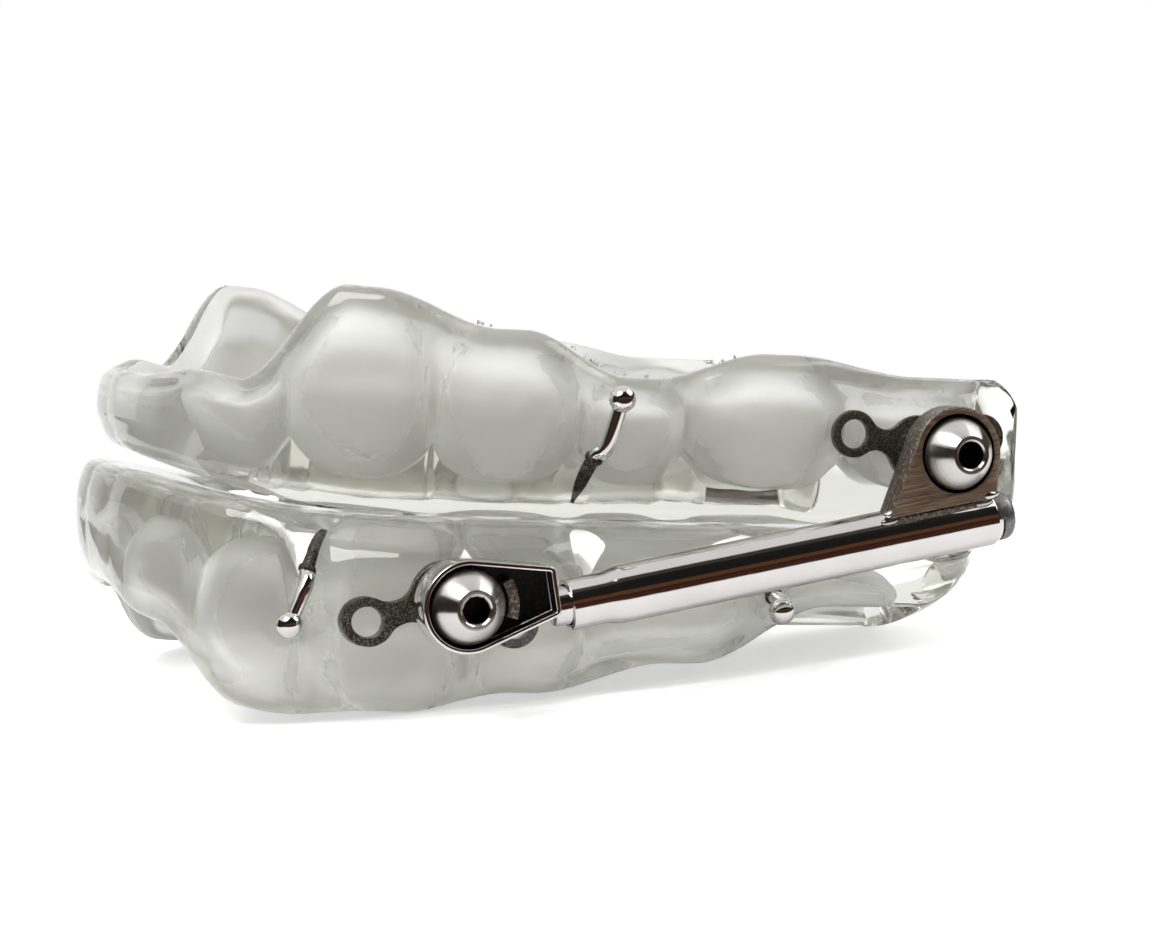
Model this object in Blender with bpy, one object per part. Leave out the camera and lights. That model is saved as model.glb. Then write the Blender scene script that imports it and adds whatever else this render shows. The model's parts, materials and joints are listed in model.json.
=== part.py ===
"""Mandibular advancement splint with a telescope on each side, in metres, +Z up.

The incisors face -Y and the wearer's left is +X. Every piece is placed in a bite frame,
whose XY plane is the plane in which the molars of the two trays meet. The bite frame is
then tipped and set down, so that the lower tray stands on its own trimmed margin.
"""

import math

import bmesh
import bpy
import numpy as np
from mathutils import Vector
from mathutils.geometry import convex_hull_2d

# Trays: the arch in plan
ARCH_POWER = 3.0
ARCH_STRAIGHT = 0.024
UPPER_FRONT = -0.0250
LOWER_LEAD = 0.0012
UPPER_HALF_WIDTH = 0.0260
LOWER_SET_IN = 0.0004

# Trays: the section
WALL = 0.0019
MARGIN_THICKNESS = 0.0017
MARGIN_LEAN = 0.0006
MARGIN_ROUND = 0.0006
BITE_THICKNESS = 0.0023
BITE_ROUND = 0.0015
BITE_GAP = 0.0003
FRONT_RISE = 0.00125
RISE_START = 0.010
UPPER_DISTAL_WALL = 0.0036
LOWER_DISTAL_WALL = 0.0048
DISTAL_DROP = 0.50
DISTAL_TAPER = 0.85
DISTAL_CROWN = 0.0004
EMBRASURE = 0.30
OUTER_DIP = 0.035
PAPILLA = 0.0009
STAND_TRIM = 0.0003
STEP_REACH = 0.8
LEAN_FROM = 0.72
BULGE_AT = 0.38
BITE_CORNER = ((0.2, 1.0), (0.5, 0.3), (1.2, 0.0))
IMPRINT_WAIST = 0.55
IMPRINT_HIP = 0.2
IMPRINT_FLOOR = 0.9

# Each tooth: width, half depth, cheek margin, tongue margin, share of the depth that the
# imprint keeps at its floor, and height of the fissure ridge in its middle
UPPER_TEETH = (
    (0.0083, 0.0034, 0.0058, 0.0070, 0.30, 0.0000),
    (0.0068, 0.0034, 0.0072, 0.0072, 0.30, 0.0000),
    (0.0082, 0.0040, 0.0142, 0.0080, 0.34, 0.0000),
    (0.0085, 0.0044, 0.0120, 0.0084, 0.62, 0.0008),
    (0.0066, 0.0045, 0.0093, 0.0086, 0.62, 0.0008),
    (0.0107, 0.0050, 0.0111, 0.0086, 0.74, 0.0011),
    (0.0088, 0.0049, 0.0100, 0.0080, 0.74, 0.0011),
)
LOWER_TEETH = (
    (0.0056, 0.0029, 0.0084, 0.0084, 0.30, 0.0000),
    (0.0060, 0.0030, 0.0094, 0.0088, 0.30, 0.0000),
    (0.0072, 0.0038, 0.0131, 0.0094, 0.34, 0.0000),
    (0.0076, 0.0040, 0.0122, 0.0092, 0.60, 0.0007),
    (0.0076, 0.0042, 0.0108, 0.0090, 0.60, 0.0007),
    (0.0110, 0.0049, 0.0088, 0.0084, 0.74, 0.0011),
    (0.0104, 0.0048, 0.0052, 0.0076, 0.74, 0.0011),
)

# Pivots: (y, z) in the bite frame, and the flat pads of the trays round them
LOWER_PIVOT = (-0.0080, -0.0044)
UPPER_PIVOT = (0.0228, 0.0053)
PAD_SET_IN = 0.0008
PAD_MARGIN = 0.0004
PAD_HALF_HEIGHT = 0.0038
PAD_RUNOUT = 0.0030
PAD_END = 0.6

# Anchor plates
PLATE_THICKNESS = 0.0008
PLATE_CLEARANCE = 0.0001
DISC_RADIUS = 0.0021
RING_RADIUS = 0.0015
RING_HOLE_RADIUS = 0.00092
NECK_HALF_WIDTH = 0.0007
ARM_REACH = 0.0045
UPPER_ARM_OFFSET = 0.0008
LOWER_ARM_OFFSET = 0.0016
BEND_START = 0.0024
LOWER_BEND = math.radians(20)
BOSS_RADIUS = 0.00145
BOSS_PROUD = 0.0001
BORE_RADIUS = 0.00085

# Pivot screws
HEAD_RADIUS = 0.00225
HEAD_RIM = 0.0005
HEAD_CONE = 0.0017
HEAD_TOP_RADIUS = 0.00118
SOCKET_RADIUS = 0.00086
SOCKET_DEPTH = 0.0011
SHANK_RADIUS = 0.00075
SEAT_GAP = 0.00006

# Lugs
UPPER_LUG_FLOOR = 0.0011
LOWER_LUG_FLOOR = 0.0014
LUG_WALL = 0.0003
LOWER_LUG_THICKNESS = 0.0024
UPPER_LUG_THICKNESS = 0.0018
UPPER_LUG_SET_OUT = 0.0009
UPPER_LUG_RADIUS = 0.0029
UPPER_LUG_FOOT_FRONT = 0.0052
HEAD_CLEARANCE = 0.0002
PIVOT_CLEARANCE = 0.0001
LOWER_LUG_REACH = 0.0055
LOWER_LUG_ABOVE = 0.00145
LOWER_LUG_BELOW = 0.0016
RIDGE_WIDTH = 0.00065
POCKET_DEPTH = 0.0009

# Telescopes
TELESCOPE_STAND_OFF = 0.0037
LOWER_DROP = 0.0012
UPPER_DROP = 0.0046
ROD_RADIUS = 0.00115
ROD_CLEARANCE = 0.0001
TUBE_RADIUS = 0.00175
TUBE_BEHIND_HUB = 0.0026
TUBE_NOSE_RADIUS = 0.00154
TUBE_NOSE_LENGTH = 0.0023
TUBE_NOSE_TAPER = 0.0011
TUBE_SHOULDER = 0.0004
WELD_SET_IN = 0.0001
STOP_GAP = 0.0007
ROD_END_GAP = 0.0022
PLUG_LENGTH = 0.00105
PLUG_SPIGOT = 0.0018
PLUG_CLEARANCE = 0.00006
PLUG_ROUND = 0.00035

# Ball hooks
BALL_RADIUS = 0.000825
WIRE_RADIUS = 0.00045
WIRE_CLEARANCE = 0.0001
MOUTH_LENGTH = 0.0009
CHANNEL_OVERRUN = 0.0018
EMBED_LENGTH = 0.0030
EMBED_SET_IN = 0.5
BALL_STAND_OFF = 0.0015
UPPER_HOOK_SHIFT = 0.0004
UPPER_HOOK_HEIGHT = 0.0040
UPPER_HOOK_RISE = 0.0037
LOWER_HOOK_SHIFT = -0.0010
LOWER_HOOK_HEIGHT = 0.0033
LOWER_HOOK_RISE = 0.0032
CLASP_SHIFT = 0.0
CLASP_HEIGHT = 0.0040
CLASP_RISE = 0.0008

# Each ball hook: tray, tooth gap it leaves by and shift from it along the arch, height where
# it leaves the plastic, rise of the ball and lean back along the arch for each unit of it,
# and share of the embedded length that runs towards the bite
HOOKS = (
    ("upper_ball_hook", "upper", 4, UPPER_HOOK_SHIFT, UPPER_HOOK_HEIGHT, UPPER_HOOK_RISE,
     -0.35, 0.9),
    ("lower_front_ball_hook", "lower", 3, LOWER_HOOK_SHIFT, LOWER_HOOK_HEIGHT, LOWER_HOOK_RISE,
     0.20, 0.75),
    ("lower_rear_ball_clasp", "lower", 6, CLASP_SHIFT, CLASP_HEIGHT, CLASP_RISE, 0.0, 0.2),
)

ROUND_SEGMENTS = 20
SMALL_SEGMENTS = 14
WIRE_SEGMENTS = 6
BALL_SEGMENTS = 10
BALL_RINGS = 6
ARCH_STEPS = 800
TOOTH_STATIONS = (0, 0.28, 0.72)
DISTAL_STATIONS = (0.15, 0.6, 1.0)
SIDES = (("left", 1), ("right", -1))


def clear_scene():
    for old in list(bpy.data.objects):
        bpy.data.objects.remove(old, do_unlink=True)


def material(name, colour, roughness, metallic=0.0, transmission=0.0):
    made = bpy.data.materials.new(name)
    made.use_nodes = True
    shader = made.node_tree.nodes["Principled BSDF"]
    shader.inputs["Base Color"].default_value = (*colour, 1.0)
    shader.inputs["Roughness"].default_value = roughness
    shader.inputs["Metallic"].default_value = metallic
    shader.inputs["Transmission Weight"].default_value = transmission
    shader.inputs["IOR"].default_value = 1.49
    return made


def add_empty(name, parent=None):
    empty = bpy.data.objects.new(name, None)
    bpy.context.scene.collection.objects.link(empty)
    empty.parent = parent
    return empty


def add_object(name, shape, finish, parent, location=(0, 0, 0), tilt=0.0):
    """Turns a bmesh into an object, with its faces outwards and its curved sides smooth."""
    bmesh.ops.recalc_face_normals(shape, faces=shape.faces)
    mesh = bpy.data.meshes.new(name)
    shape.to_mesh(mesh)
    shape.free()
    mesh.shade_smooth()
    mesh.set_sharp_from_angle(angle=math.radians(35))
    made = bpy.data.objects.new(name, mesh)
    bpy.context.scene.collection.objects.link(made)
    made.parent = parent
    made.location = location
    made.rotation_euler.x = tilt
    if finish:
        mesh.materials.append(finish)
    return made


def use_tool(target, tool, operation):
    """A Boolean on the target with a hidden tool object."""
    tool.hide_render = True
    tool.display_type = "WIRE"
    boolean = target.modifiers.new(tool.name, "BOOLEAN")
    boolean.operation = operation
    boolean.solver = "EXACT"
    boolean.object = tool


def loop_between(shape, first, second):
    count = len(first)
    for i in range(count):
        j = (i + 1) % count
        shape.faces.new((first[i], first[j], second[j], second[i]))


def revolve(profile, segments, side=1, turn=0.0):
    """A solid turned round the X axis. The profile lists (x, radius); both ends are capped."""
    shape = bmesh.new()
    rings = []
    for x, radius in profile:
        angles = [turn + 2 * math.pi * i / segments for i in range(segments)]
        ring = [(side * x, radius * math.cos(a), radius * math.sin(a)) for a in angles]
        rings.append([shape.verts.new(point) for point in ring])
    for first, second in zip(rings, rings[1:]):
        loop_between(shape, first, second)
    shape.faces.new(rings[0])
    shape.faces.new(rings[-1])
    return shape


def along_y(shape, centre):
    """Turns a shape made round the X axis onto the Y axis and moves it to a centre."""
    for vert in shape.verts:
        x, y, z = vert.co
        vert.co = Vector((-y, x, z)) + Vector(centre)
    return shape


def slab(outline, holes, x_inner, x_outer, side):
    """A plate square to X, with round or shaped holes. Outlines are lists of (y, z)."""
    shape = bmesh.new()
    for points in (outline, *holes):
        verts = [shape.verts.new((side * x_inner, y, z)) for y, z in points]
        for i, vert in enumerate(verts):
            shape.edges.new((vert, verts[(i + 1) % len(verts)]))
    if holes:
        bmesh.ops.triangle_fill(shape, use_beauty=True, edges=shape.edges)
    else:
        shape.faces.new(shape.verts)
    grown = bmesh.ops.extrude_face_region(shape, geom=shape.faces[:])
    moved = [item for item in grown["geom"] if isinstance(item, bmesh.types.BMVert)]
    bmesh.ops.translate(shape, verts=moved, vec=(side * (x_outer - x_inner), 0, 0))
    return shape


def arc(centre, radius, start, end, steps):
    """Points on an arc, both ends included."""
    angles = [start + (end - start) * i / steps for i in range(steps + 1)]
    return [
        (centre[0] + radius * math.cos(a), centre[1] + radius * math.sin(a))
        for a in angles
    ]


def circle(centre, radius, segments):
    return arc(centre, radius, 0, 2 * math.pi * (1 - 1 / segments), segments - 1)


def hull(points):
    return [points[i] for i in convex_hull_2d([Vector(p) for p in points])]


def eased(places, values, at):
    """Values joined from place to place by smooth steps, each shorter than its span."""
    i = int(np.clip(np.searchsorted(places, at) - 1, 0, len(places) - 2))
    share = (at - places[i]) / (places[i + 1] - places[i])
    share = np.clip(0.5 + (share - 0.5) / STEP_REACH, 0, 1)
    share = share * share * (3 - 2 * share)
    return values[i] + (values[i + 1] - values[i]) * share


class Tray:
    """One moulded tray: a section with tooth imprints, carried along the dental arch.

    Places along the arch are lengths from the midline, positive on the left. Heights are
    measured from the bite surface into the tray.
    """

    def __init__(self, teeth, front, half_width, distal, up, pivot, arm_offset, bend):
        self.teeth = teeth
        self.up = up
        self.pivot = pivot
        self.pad_x = half_width - PAD_SET_IN
        self.arm_offset = arm_offset
        self.bend = bend
        self.distal = distal
        self.front = front + teeth[0][1] + WALL
        self.half_width = half_width - teeth[-1][1] - WALL
        widths = [tooth[0] for tooth in teeth]
        self.bounds = [sum(widths[:i]) for i in range(len(widths) + 1)]
        self.centres = [(a + b) / 2 for a, b in zip(self.bounds, self.bounds[1:])]
        self.end = self.bounds[-1] + distal
        turn = np.linspace(0, math.pi / 2, ARCH_STEPS)
        x = self.half_width * np.sin(turn) ** (2 / ARCH_POWER)
        depth = ARCH_STRAIGHT - self.front
        y = ARCH_STRAIGHT - depth * np.cos(turn) ** (2 / ARCH_POWER)
        self.x = np.append(x, x[-1])
        self.y = np.append(y, y[-1] + self.end)
        steps = np.hypot(np.diff(self.x), np.diff(self.y))
        self.length = np.append(0, np.cumsum(steps))

    def centre(self, place):
        x = np.interp(abs(place), self.length, self.x) * math.copysign(1, place)
        return np.array((x, np.interp(abs(place), self.length, self.y)))

    def outward(self, place):
        """The direction in plan from the middle of the arch to the cheek."""
        step = WALL / 2
        along = self.centre(place + step) - self.centre(place - step)
        along /= np.linalg.norm(along)
        return np.array((along[1], -along[0]))

    def size(self, column, place):
        values = [tooth[column] for tooth in self.teeth]
        return eased(self.centres, values, abs(place))

    def in_tooth(self, place):
        """How far a place lies from the middle of its tooth: 0 there and 1 between teeth."""
        place = min(abs(place), self.bounds[-1])
        i = min(int(np.searchsorted(self.bounds, place, "right")) - 1, len(self.teeth) - 1)
        half = self.teeth[i][0] / 2
        return min(abs(place - self.centres[i]) / half, 1.0)

    def past_teeth(self, place):
        return max(0.0, abs(place) - self.bounds[-1]) / self.distal

    def outer(self, place):
        """Half the width of the tray, without the pad round the anchor plate."""
        past = self.past_teeth(place)
        dip = 1 - OUTER_DIP * self.in_tooth(place) ** 3
        return (self.size(1, place) + WALL) * dip * math.sqrt(1 - (DISTAL_TAPER * past) ** 2)

    def half_section(self, place, column):
        """Crest to bite along the outside, and crest to floor along the imprint."""
        out = self.outer(place)
        top = self.size(column, place) * (1 - DISTAL_DROP * self.past_teeth(place) ** 2)
        outside = [
            (out - MARGIN_LEAN - MARGIN_THICKNESS / 2, top),
            (out - MARGIN_LEAN, top - MARGIN_ROUND),
            (out - MARGIN_LEAN / 4, LEAN_FROM * top),
            (out, BULGE_AT * top),
        ]
        outside += [(out - a * BITE_ROUND, b * BITE_ROUND) for a, b in BITE_CORNER]
        near = self.in_tooth(place) ** 3
        scallop = 1 - EMBRASURE * near
        floor = BITE_THICKNESS + PAPILLA * near
        half = self.size(1, place) * scallop
        low = half * self.size(4, place)
        inside = [
            (out - MARGIN_LEAN - MARGIN_THICKNESS, top - MARGIN_ROUND),
            (half, floor + IMPRINT_WAIST * (top - floor)),
            ((half + low) / 2 + IMPRINT_HIP * (half - low), floor + IMPRINT_HIP * (top - floor)),
            (IMPRINT_FLOOR * low, floor),
        ]
        return outside, inside

    def section(self, place):
        """The closed section as (outward, height), from the cheek crest over the bite."""
        cheek_out, cheek_in = self.half_section(place, 2)
        tongue_out, tongue_in = self.half_section(place, 3)
        outside = cheek_out + [(-n, h) for n, h in reversed(tongue_out)]
        middle = (cheek_in[-1][1] + tongue_in[-1][1]) / 2 + self.size(5, place)
        inside = [(-n, h) for n, h in tongue_in] + [(0, middle)] + cheek_in[::-1]
        if self.past_teeth(place) > 0:
            inside = self.crown(outside[-1], outside[0], len(inside))
        return outside + inside, len(cheek_out)

    def crown(self, tongue, cheek, count):
        """Points over a station behind the imprints, arched between its two crests."""
        points = []
        for i in range(1, count + 1):
            share = i / (count + 1)
            height = tongue[1] + (cheek[1] - tongue[1]) * share
            height += DISTAL_CROWN * math.sin(math.pi * share)
            points.append((tongue[0] + (cheek[0] - tongue[0]) * share, height))
        return points

    def bite_height(self, y):
        """The bite surface climbs towards the incisors."""
        reach = -self.front - RISE_START
        return FRONT_RISE * max(0.0, (-y - RISE_START) / reach) ** 2

    def padded(self, x, y, z):
        """Draws the cheek side to the plane of the anchor plate, in and round the plate."""
        along = y - self.pivot[0]
        face = self.pad_x - math.tan(self.bend) * max(0.0, -along - BEND_START)
        past = max(0.0, abs(along) - ARM_REACH - RING_RADIUS - PAD_MARGIN)
        over = max(0.0, abs(z - self.pivot[1]) - PAD_HALF_HEIGHT)
        share = max(0.0, 1 - math.hypot(past, over) / PAD_RUNOUT)
        share = share * share * (3 - 2 * share)
        return x + share * (math.copysign(face, x) - x)

    def point(self, place, out, height, cheek):
        x, y = self.centre(place) + out * self.outward(place)
        z = self.bite_height(y) + self.up * (BITE_GAP / 2 + height)
        if cheek and self.past_teeth(place) < PAD_END:
            x = self.padded(x, y, z)
        return Vector((x, y, z))

    def on_cheek(self, place, height):
        """A point on the cheek side at a height, and the way out from it."""
        outside = self.half_section(place, 2)[0]
        outs, heights = zip(*reversed(outside))
        out = float(np.interp(height, heights, outs))
        normal = self.outward(place)
        return self.point(place, out, height, True), Vector((*normal, 0))

    def places(self):
        """The stations of the loft, from the right end to the left end."""
        half = []
        for start, tooth in zip(self.bounds, self.teeth):
            half += [start + share * tooth[0] for share in TOOTH_STATIONS]
        half.append(self.bounds[-1])
        half += [self.bounds[-1] + share * self.distal for share in DISTAL_STATIONS]
        return [-place for place in reversed(half[1:])] + half

    def shape(self):
        shape = bmesh.new()
        rings = []
        for place in self.places():
            points, cheek_count = self.section(place)
            rings.append([
                shape.verts.new(self.point(place, out, height, i < cheek_count))
                for i, (out, height) in enumerate(points)
            ])
        for first, second in zip(rings, rings[1:]):
            loop_between(shape, first, second)
        shape.faces.new(rings[0])
        shape.faces.new(rings[-1])
        bmesh.ops.triangulate(shape, faces=shape.faces)
        return shape


def level(points, tilt):
    """The lowest heights of the front and rear halves once the points are tipped."""
    y, z = points[:, 1], points[:, 2]
    heights = y * math.sin(tilt) + z * math.cos(tilt)
    return heights[y < 0].min(), heights[y > 0].min()


def standing_tilt(points):
    """The tilt about X at which the front and the rear of the lower tray stand level."""
    low, high = math.radians(-20), math.radians(20)
    for _ in range(50):
        tilt = (low + high) / 2
        front, rear = level(points, tilt)
        if front < rear:
            high = tilt
        else:
            low = tilt
    return tilt


def trim_flat(shape, tilt, height):
    """Cuts the tray flat where it stands, at a height above its lowest points."""
    normal = Vector((0, -math.sin(tilt), -math.cos(tilt)))
    everything = shape.verts[:] + shape.edges[:] + shape.faces[:]
    cut = bmesh.ops.bisect_plane(
        shape, geom=everything, plane_co=-normal * height, plane_no=normal, clear_outer=True
    )
    rim = [item for item in cut["geom_cut"] if isinstance(item, bmesh.types.BMEdge)]
    bmesh.ops.edgeloop_fill(shape, edges=rim)
    return shape


def neck_fillet(reach):
    """The radius that joins disc and ring and leaves the neck its width."""
    low, high = 1e-5, 0.05
    for _ in range(60):
        radius = (low + high) / 2
        rise = (NECK_HALF_WIDTH + radius) ** 2
        to_disc = math.sqrt(max(0.0, (DISC_RADIUS + radius) ** 2 - rise))
        to_ring = math.sqrt(max(0.0, (RING_RADIUS + radius) ** 2 - rise))
        if to_disc + to_ring < reach:
            low = radius
        else:
            high = radius
    return radius, to_disc, to_ring


def arm_outline(grow, offset, ring_steps=10, fillet_steps=2):
    """Half of the dog-bone plate: from the disc round one ring and back, arm along +Y."""
    reach = math.hypot(ARM_REACH, offset)
    fillet, to_disc, to_ring = neck_fillet(reach)
    rise = NECK_HALF_WIDTH + fillet
    disc_angle = math.atan2(rise, to_disc)
    ring_angle = math.atan2(rise, -to_ring)
    centre = (to_disc, rise)
    upper = arc(centre, fillet - grow, disc_angle - math.pi, ring_angle - math.pi, fillet_steps)
    ring = arc((reach, 0), RING_RADIUS + grow, ring_angle, -ring_angle, ring_steps)
    lower = [(y, -z) for y, z in reversed(upper)]
    return upper + ring[1:-1] + lower, disc_angle


def plate_outline(grow, tray):
    """The whole dog-bone, its arms set off from the pivot away from the bite."""
    arm, disc_angle = arm_outline(grow, tray.arm_offset)
    slope = math.atan2(tray.arm_offset, ARM_REACH)
    points = []
    for turn, flip in ((slope, 1), (-slope, -1)):
        for y, z in arm:
            points.append((
                flip * (y * math.cos(turn) - z * math.sin(turn)),
                flip * (y * math.sin(turn) + z * math.cos(turn)),
            ))
        start = turn - disc_angle if flip > 0 else math.pi + turn - disc_angle
        end = -math.pi - slope + disc_angle if flip > 0 else slope + disc_angle
        span = arc((0, 0), DISC_RADIUS + grow, start, end, 5)
        points += span[1:-1]
    return [(y, tray.up * z) for y, z in points]


def ring_holes(grow, tray, segments=10):
    return [
        circle((turn * ARM_REACH, tray.up * tray.arm_offset), RING_HOLE_RADIUS - grow, segments)
        for turn in (1, -1)
    ]


def plate(x_inner, x_outer, grow, tray, side):
    """The anchor plate, or the pocket for it, with its front arm bent along the arch."""
    outline = plate_outline(grow, tray)
    holes = ring_holes(grow, tray)
    shape = slab(outline, holes, x_inner, x_outer, side)
    everything = shape.verts[:] + shape.edges[:] + shape.faces[:]
    bmesh.ops.bisect_plane(
        shape, geom=everything, plane_co=(0, -BEND_START, 0), plane_no=(0, 1, 0)
    )
    for vert in shape.verts:
        vert.co.x -= side * math.tan(tray.bend) * max(0.0, -vert.co.y - BEND_START)
    return shape


def pivot_at(tray):
    return Vector((0, *tray.pivot))


def boss_top(tray):
    """Where the screw head seats: just proud of the floor of the lug."""
    if tray.up > 0:
        return UPPER_LUG_INNER + UPPER_LUG_FLOOR + BOSS_PROUD
    return LOWER_LUG_INNER + LOWER_LUG_FLOOR + BOSS_PROUD


def make_anchor(name, tray, side, finish, bite):
    face = tray.pad_x
    back = face - PLATE_THICKNESS
    place = pivot_at(tray)
    anchor = add_object(name, plate(back, face, 0, tray, side), finish, bite, place)
    boss = revolve([(face - PLATE_THICKNESS / 2, BOSS_RADIUS), (boss_top(tray), BOSS_RADIUS)],
                   ROUND_SEGMENTS, side)
    use_tool(anchor, add_object(name + ".boss", boss, None, bite, place), "UNION")
    bore = revolve([(back + PLATE_THICKNESS / 4, BORE_RADIUS),
                    (boss_top(tray) + PLATE_THICKNESS, BORE_RADIUS)], SMALL_SEGMENTS, side)
    use_tool(anchor, add_object(name + ".bore", bore, None, bite, place), "DIFFERENCE")
    return anchor


def make_pocket(name, tray, side, target, bite):
    """The recess in the tray that the anchor plate is set in, with posts in its rings."""
    inner = tray.pad_x - PLATE_THICKNESS - PLATE_CLEARANCE
    outer = tray.pad_x + WALL
    shape = plate(inner, outer, PLATE_CLEARANCE, tray, side)
    tool = add_object(name + ".pocket", shape, None, bite, pivot_at(tray))
    use_tool(target, tool, "DIFFERENCE")


def make_screw(name, tray, side, finish, bite):
    """A pivot screw: shank, flat rim, cone and hexagon socket."""
    seat = boss_top(tray) + SEAT_GAP
    tip = tray.pad_x - PLATE_THICKNESS / 2
    rim = seat + HEAD_RIM
    top = rim + HEAD_CONE
    bow = (HEAD_RADIUS + HEAD_TOP_RADIUS) / 2 + HEAD_RIM / 4
    profile = [
        (tip, SHANK_RADIUS), (seat, SHANK_RADIUS), (seat, HEAD_RADIUS), (rim, HEAD_RADIUS),
        ((rim + top) / 2, bow), (top, HEAD_TOP_RADIUS),
    ]
    place = pivot_at(tray)
    screw = add_object(name, revolve(profile, ROUND_SEGMENTS, side), finish, bite, place)
    socket = revolve([(top - SOCKET_DEPTH, SOCKET_RADIUS), (top + HEAD_RIM, SOCKET_RADIUS)],
                     6, side, math.radians(15))
    use_tool(screw, add_object(name + ".socket", socket, None, bite, place), "DIFFERENCE")
    return screw


def make_rod(name, side, finish, bite):
    """The cup lug on the lower pivot with the rod behind it, in the rod's own frame.

    The frame's origin is on the pivot and its Y axis runs along the rod.
    """
    place = Vector((0, *LOWER_PIVOT))
    inner = LOWER_LUG_INNER
    outer = inner + LOWER_LUG_THICKNESS
    cup = HEAD_RADIUS + HEAD_CLEARANCE
    rim = cup + LUG_WALL
    corners = [(LOWER_LUG_REACH, LOWER_LUG_ABOVE), (LOWER_LUG_REACH, -LOWER_LUG_BELOW)]
    outline = hull(circle((0, 0), rim, ROUND_SEGMENTS) + corners)
    rod = add_object(name, slab(outline, [], inner, outer, side), finish, bite, place, SLOPE)

    def tool(label, shape, operation):
        made = add_object(name + label, shape, None, bite, place, SLOPE)
        use_tool(rod, made, operation)

    start = LOWER_LUG_REACH - LUG_WALL
    bar = revolve([(start, ROD_RADIUS), (ROD_END, ROD_RADIUS)], SMALL_SEGMENTS)
    tool(".bar", along_y(bar, (side * TELESCOPE_X, 0, -LOWER_DROP)), "UNION")
    tool(".cup", revolve([(inner + LOWER_LUG_FLOOR, cup), (outer + LUG_WALL, cup)],
                         ROUND_SEGMENTS, side), "DIFFERENCE")
    hole = BOSS_RADIUS + PIVOT_CLEARANCE
    tool(".hole", revolve([(inner - LUG_WALL, hole), (outer + LUG_WALL, hole)],
                          ROUND_SEGMENTS, side), "DIFFERENCE")
    ridge = cup + RIDGE_WIDTH
    below = LOWER_LUG_BELOW - LUG_WALL
    above = LOWER_LUG_ABOVE - LUG_WALL
    far = LOWER_LUG_REACH - LUG_WALL
    spread = math.asin(min(0.9, (above + LUG_WALL) / ridge))
    under = math.asin(min(0.9, (below + LUG_WALL) / ridge))
    pocket = [(far, -below), (far, above)] + arc((0, 0), ridge, spread, -under, 6)
    tool(".pocket", slab(pocket, [], outer - POCKET_DEPTH, outer + LUG_WALL, side), "DIFFERENCE")
    return rod


def make_tube(name, side, finish, bite):
    """The outer tube with its welded lug. Its origin is on the bore, at the front end."""
    place = on_axis(TUBE_START)
    profile = [
        (0, TUBE_NOSE_RADIUS), (TUBE_NOSE_LENGTH, TUBE_NOSE_RADIUS),
        (TUBE_NOSE_LENGTH + TUBE_NOSE_TAPER, TUBE_RADIUS),
        (TUBE_LENGTH - TUBE_SHOULDER, TUBE_RADIUS), (TUBE_LENGTH, TUBE_RADIUS - TUBE_SHOULDER / 2),
    ]
    centre = (side * TELESCOPE_X, 0, 0)
    barrel = along_y(revolve(profile, ROUND_SEGMENTS), centre)
    tube = add_object(name, barrel, finish, bite, place, SLOPE)

    def tool(label, shape, operation):
        made = add_object(name + label, shape, None, bite, place, SLOPE)
        use_tool(tube, made, operation)

    hub = (UPPER_FOOT - TUBE_START, UPPER_DROP)
    foot = TUBE_RADIUS - (TUBE_RADIUS - ROD_RADIUS) / 2
    rear = TUBE_LENGTH - TUBE_SHOULDER - WELD_SET_IN
    corners = [(hub[0] - UPPER_LUG_FOOT_FRONT, foot), (rear, foot)]
    corners += [(y, z / 2) for y, z in corners]
    outline = hull(circle(hub, UPPER_LUG_RADIUS, ROUND_SEGMENTS) + corners)
    inner = UPPER_LUG_INNER
    outer = inner + UPPER_LUG_THICKNESS
    tool(".lug", slab(outline, [], inner, outer, side), "UNION")

    def at_hub(radius, start, end):
        shape = revolve([(start, radius), (end, radius)], ROUND_SEGMENTS, side)
        bmesh.ops.translate(shape, verts=shape.verts, vec=(0, *hub))
        return shape

    cup = HEAD_RADIUS + HEAD_CLEARANCE
    tool(".cup", at_hub(cup, inner + UPPER_LUG_FLOOR, outer + LUG_WALL), "DIFFERENCE")
    hole = BOSS_RADIUS + PIVOT_CLEARANCE
    tool(".hole", at_hub(hole, inner - LUG_WALL, outer + LUG_WALL), "DIFFERENCE")
    bore = revolve([(-LUG_WALL, BORE), (TUBE_LENGTH + LUG_WALL, BORE)], SMALL_SEGMENTS)
    tool(".bore", along_y(bore, centre), "DIFFERENCE")
    return tube


def make_plug(name, side, finish, bite):
    """The end plug: a spigot in the bore and a rounded cap behind the tube."""
    place = on_axis(TUBE_START + TUBE_LENGTH)
    cap = TUBE_RADIUS - TUBE_SHOULDER / 2
    spigot = BORE - PLUG_CLEARANCE
    profile = [
        (-PLUG_SPIGOT, spigot), (PLUG_CLEARANCE, spigot), (PLUG_CLEARANCE, cap),
        (PLUG_LENGTH - PLUG_ROUND, cap), (PLUG_LENGTH, cap - PLUG_ROUND),
    ]
    shape = along_y(revolve(profile, SMALL_SEGMENTS), (side * TELESCOPE_X, 0, 0))
    return add_object(name, shape, finish, bite, place, SLOPE)


def sweep(points, radius, segments):
    """A round wire along a line of points, capped at both ends."""
    shape = bmesh.new()
    rings = []
    for i, point in enumerate(points):
        before = points[max(i - 1, 0)]
        after = points[min(i + 1, len(points) - 1)]
        along = (after - before).normalized()
        across = along.cross(Vector((1, 0, 0))).normalized()
        third = along.cross(across)
        ring = []
        for k in range(segments):
            a = 2 * math.pi * k / segments
            ring.append(shape.verts.new(point + radius * (math.cos(a) * across + math.sin(a) * third)))
        rings.append(ring)
    for first, second in zip(rings, rings[1:]):
        loop_between(shape, first, second)
    shape.faces.new(rings[0])
    shape.faces.new(rings[-1])
    return shape


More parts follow.
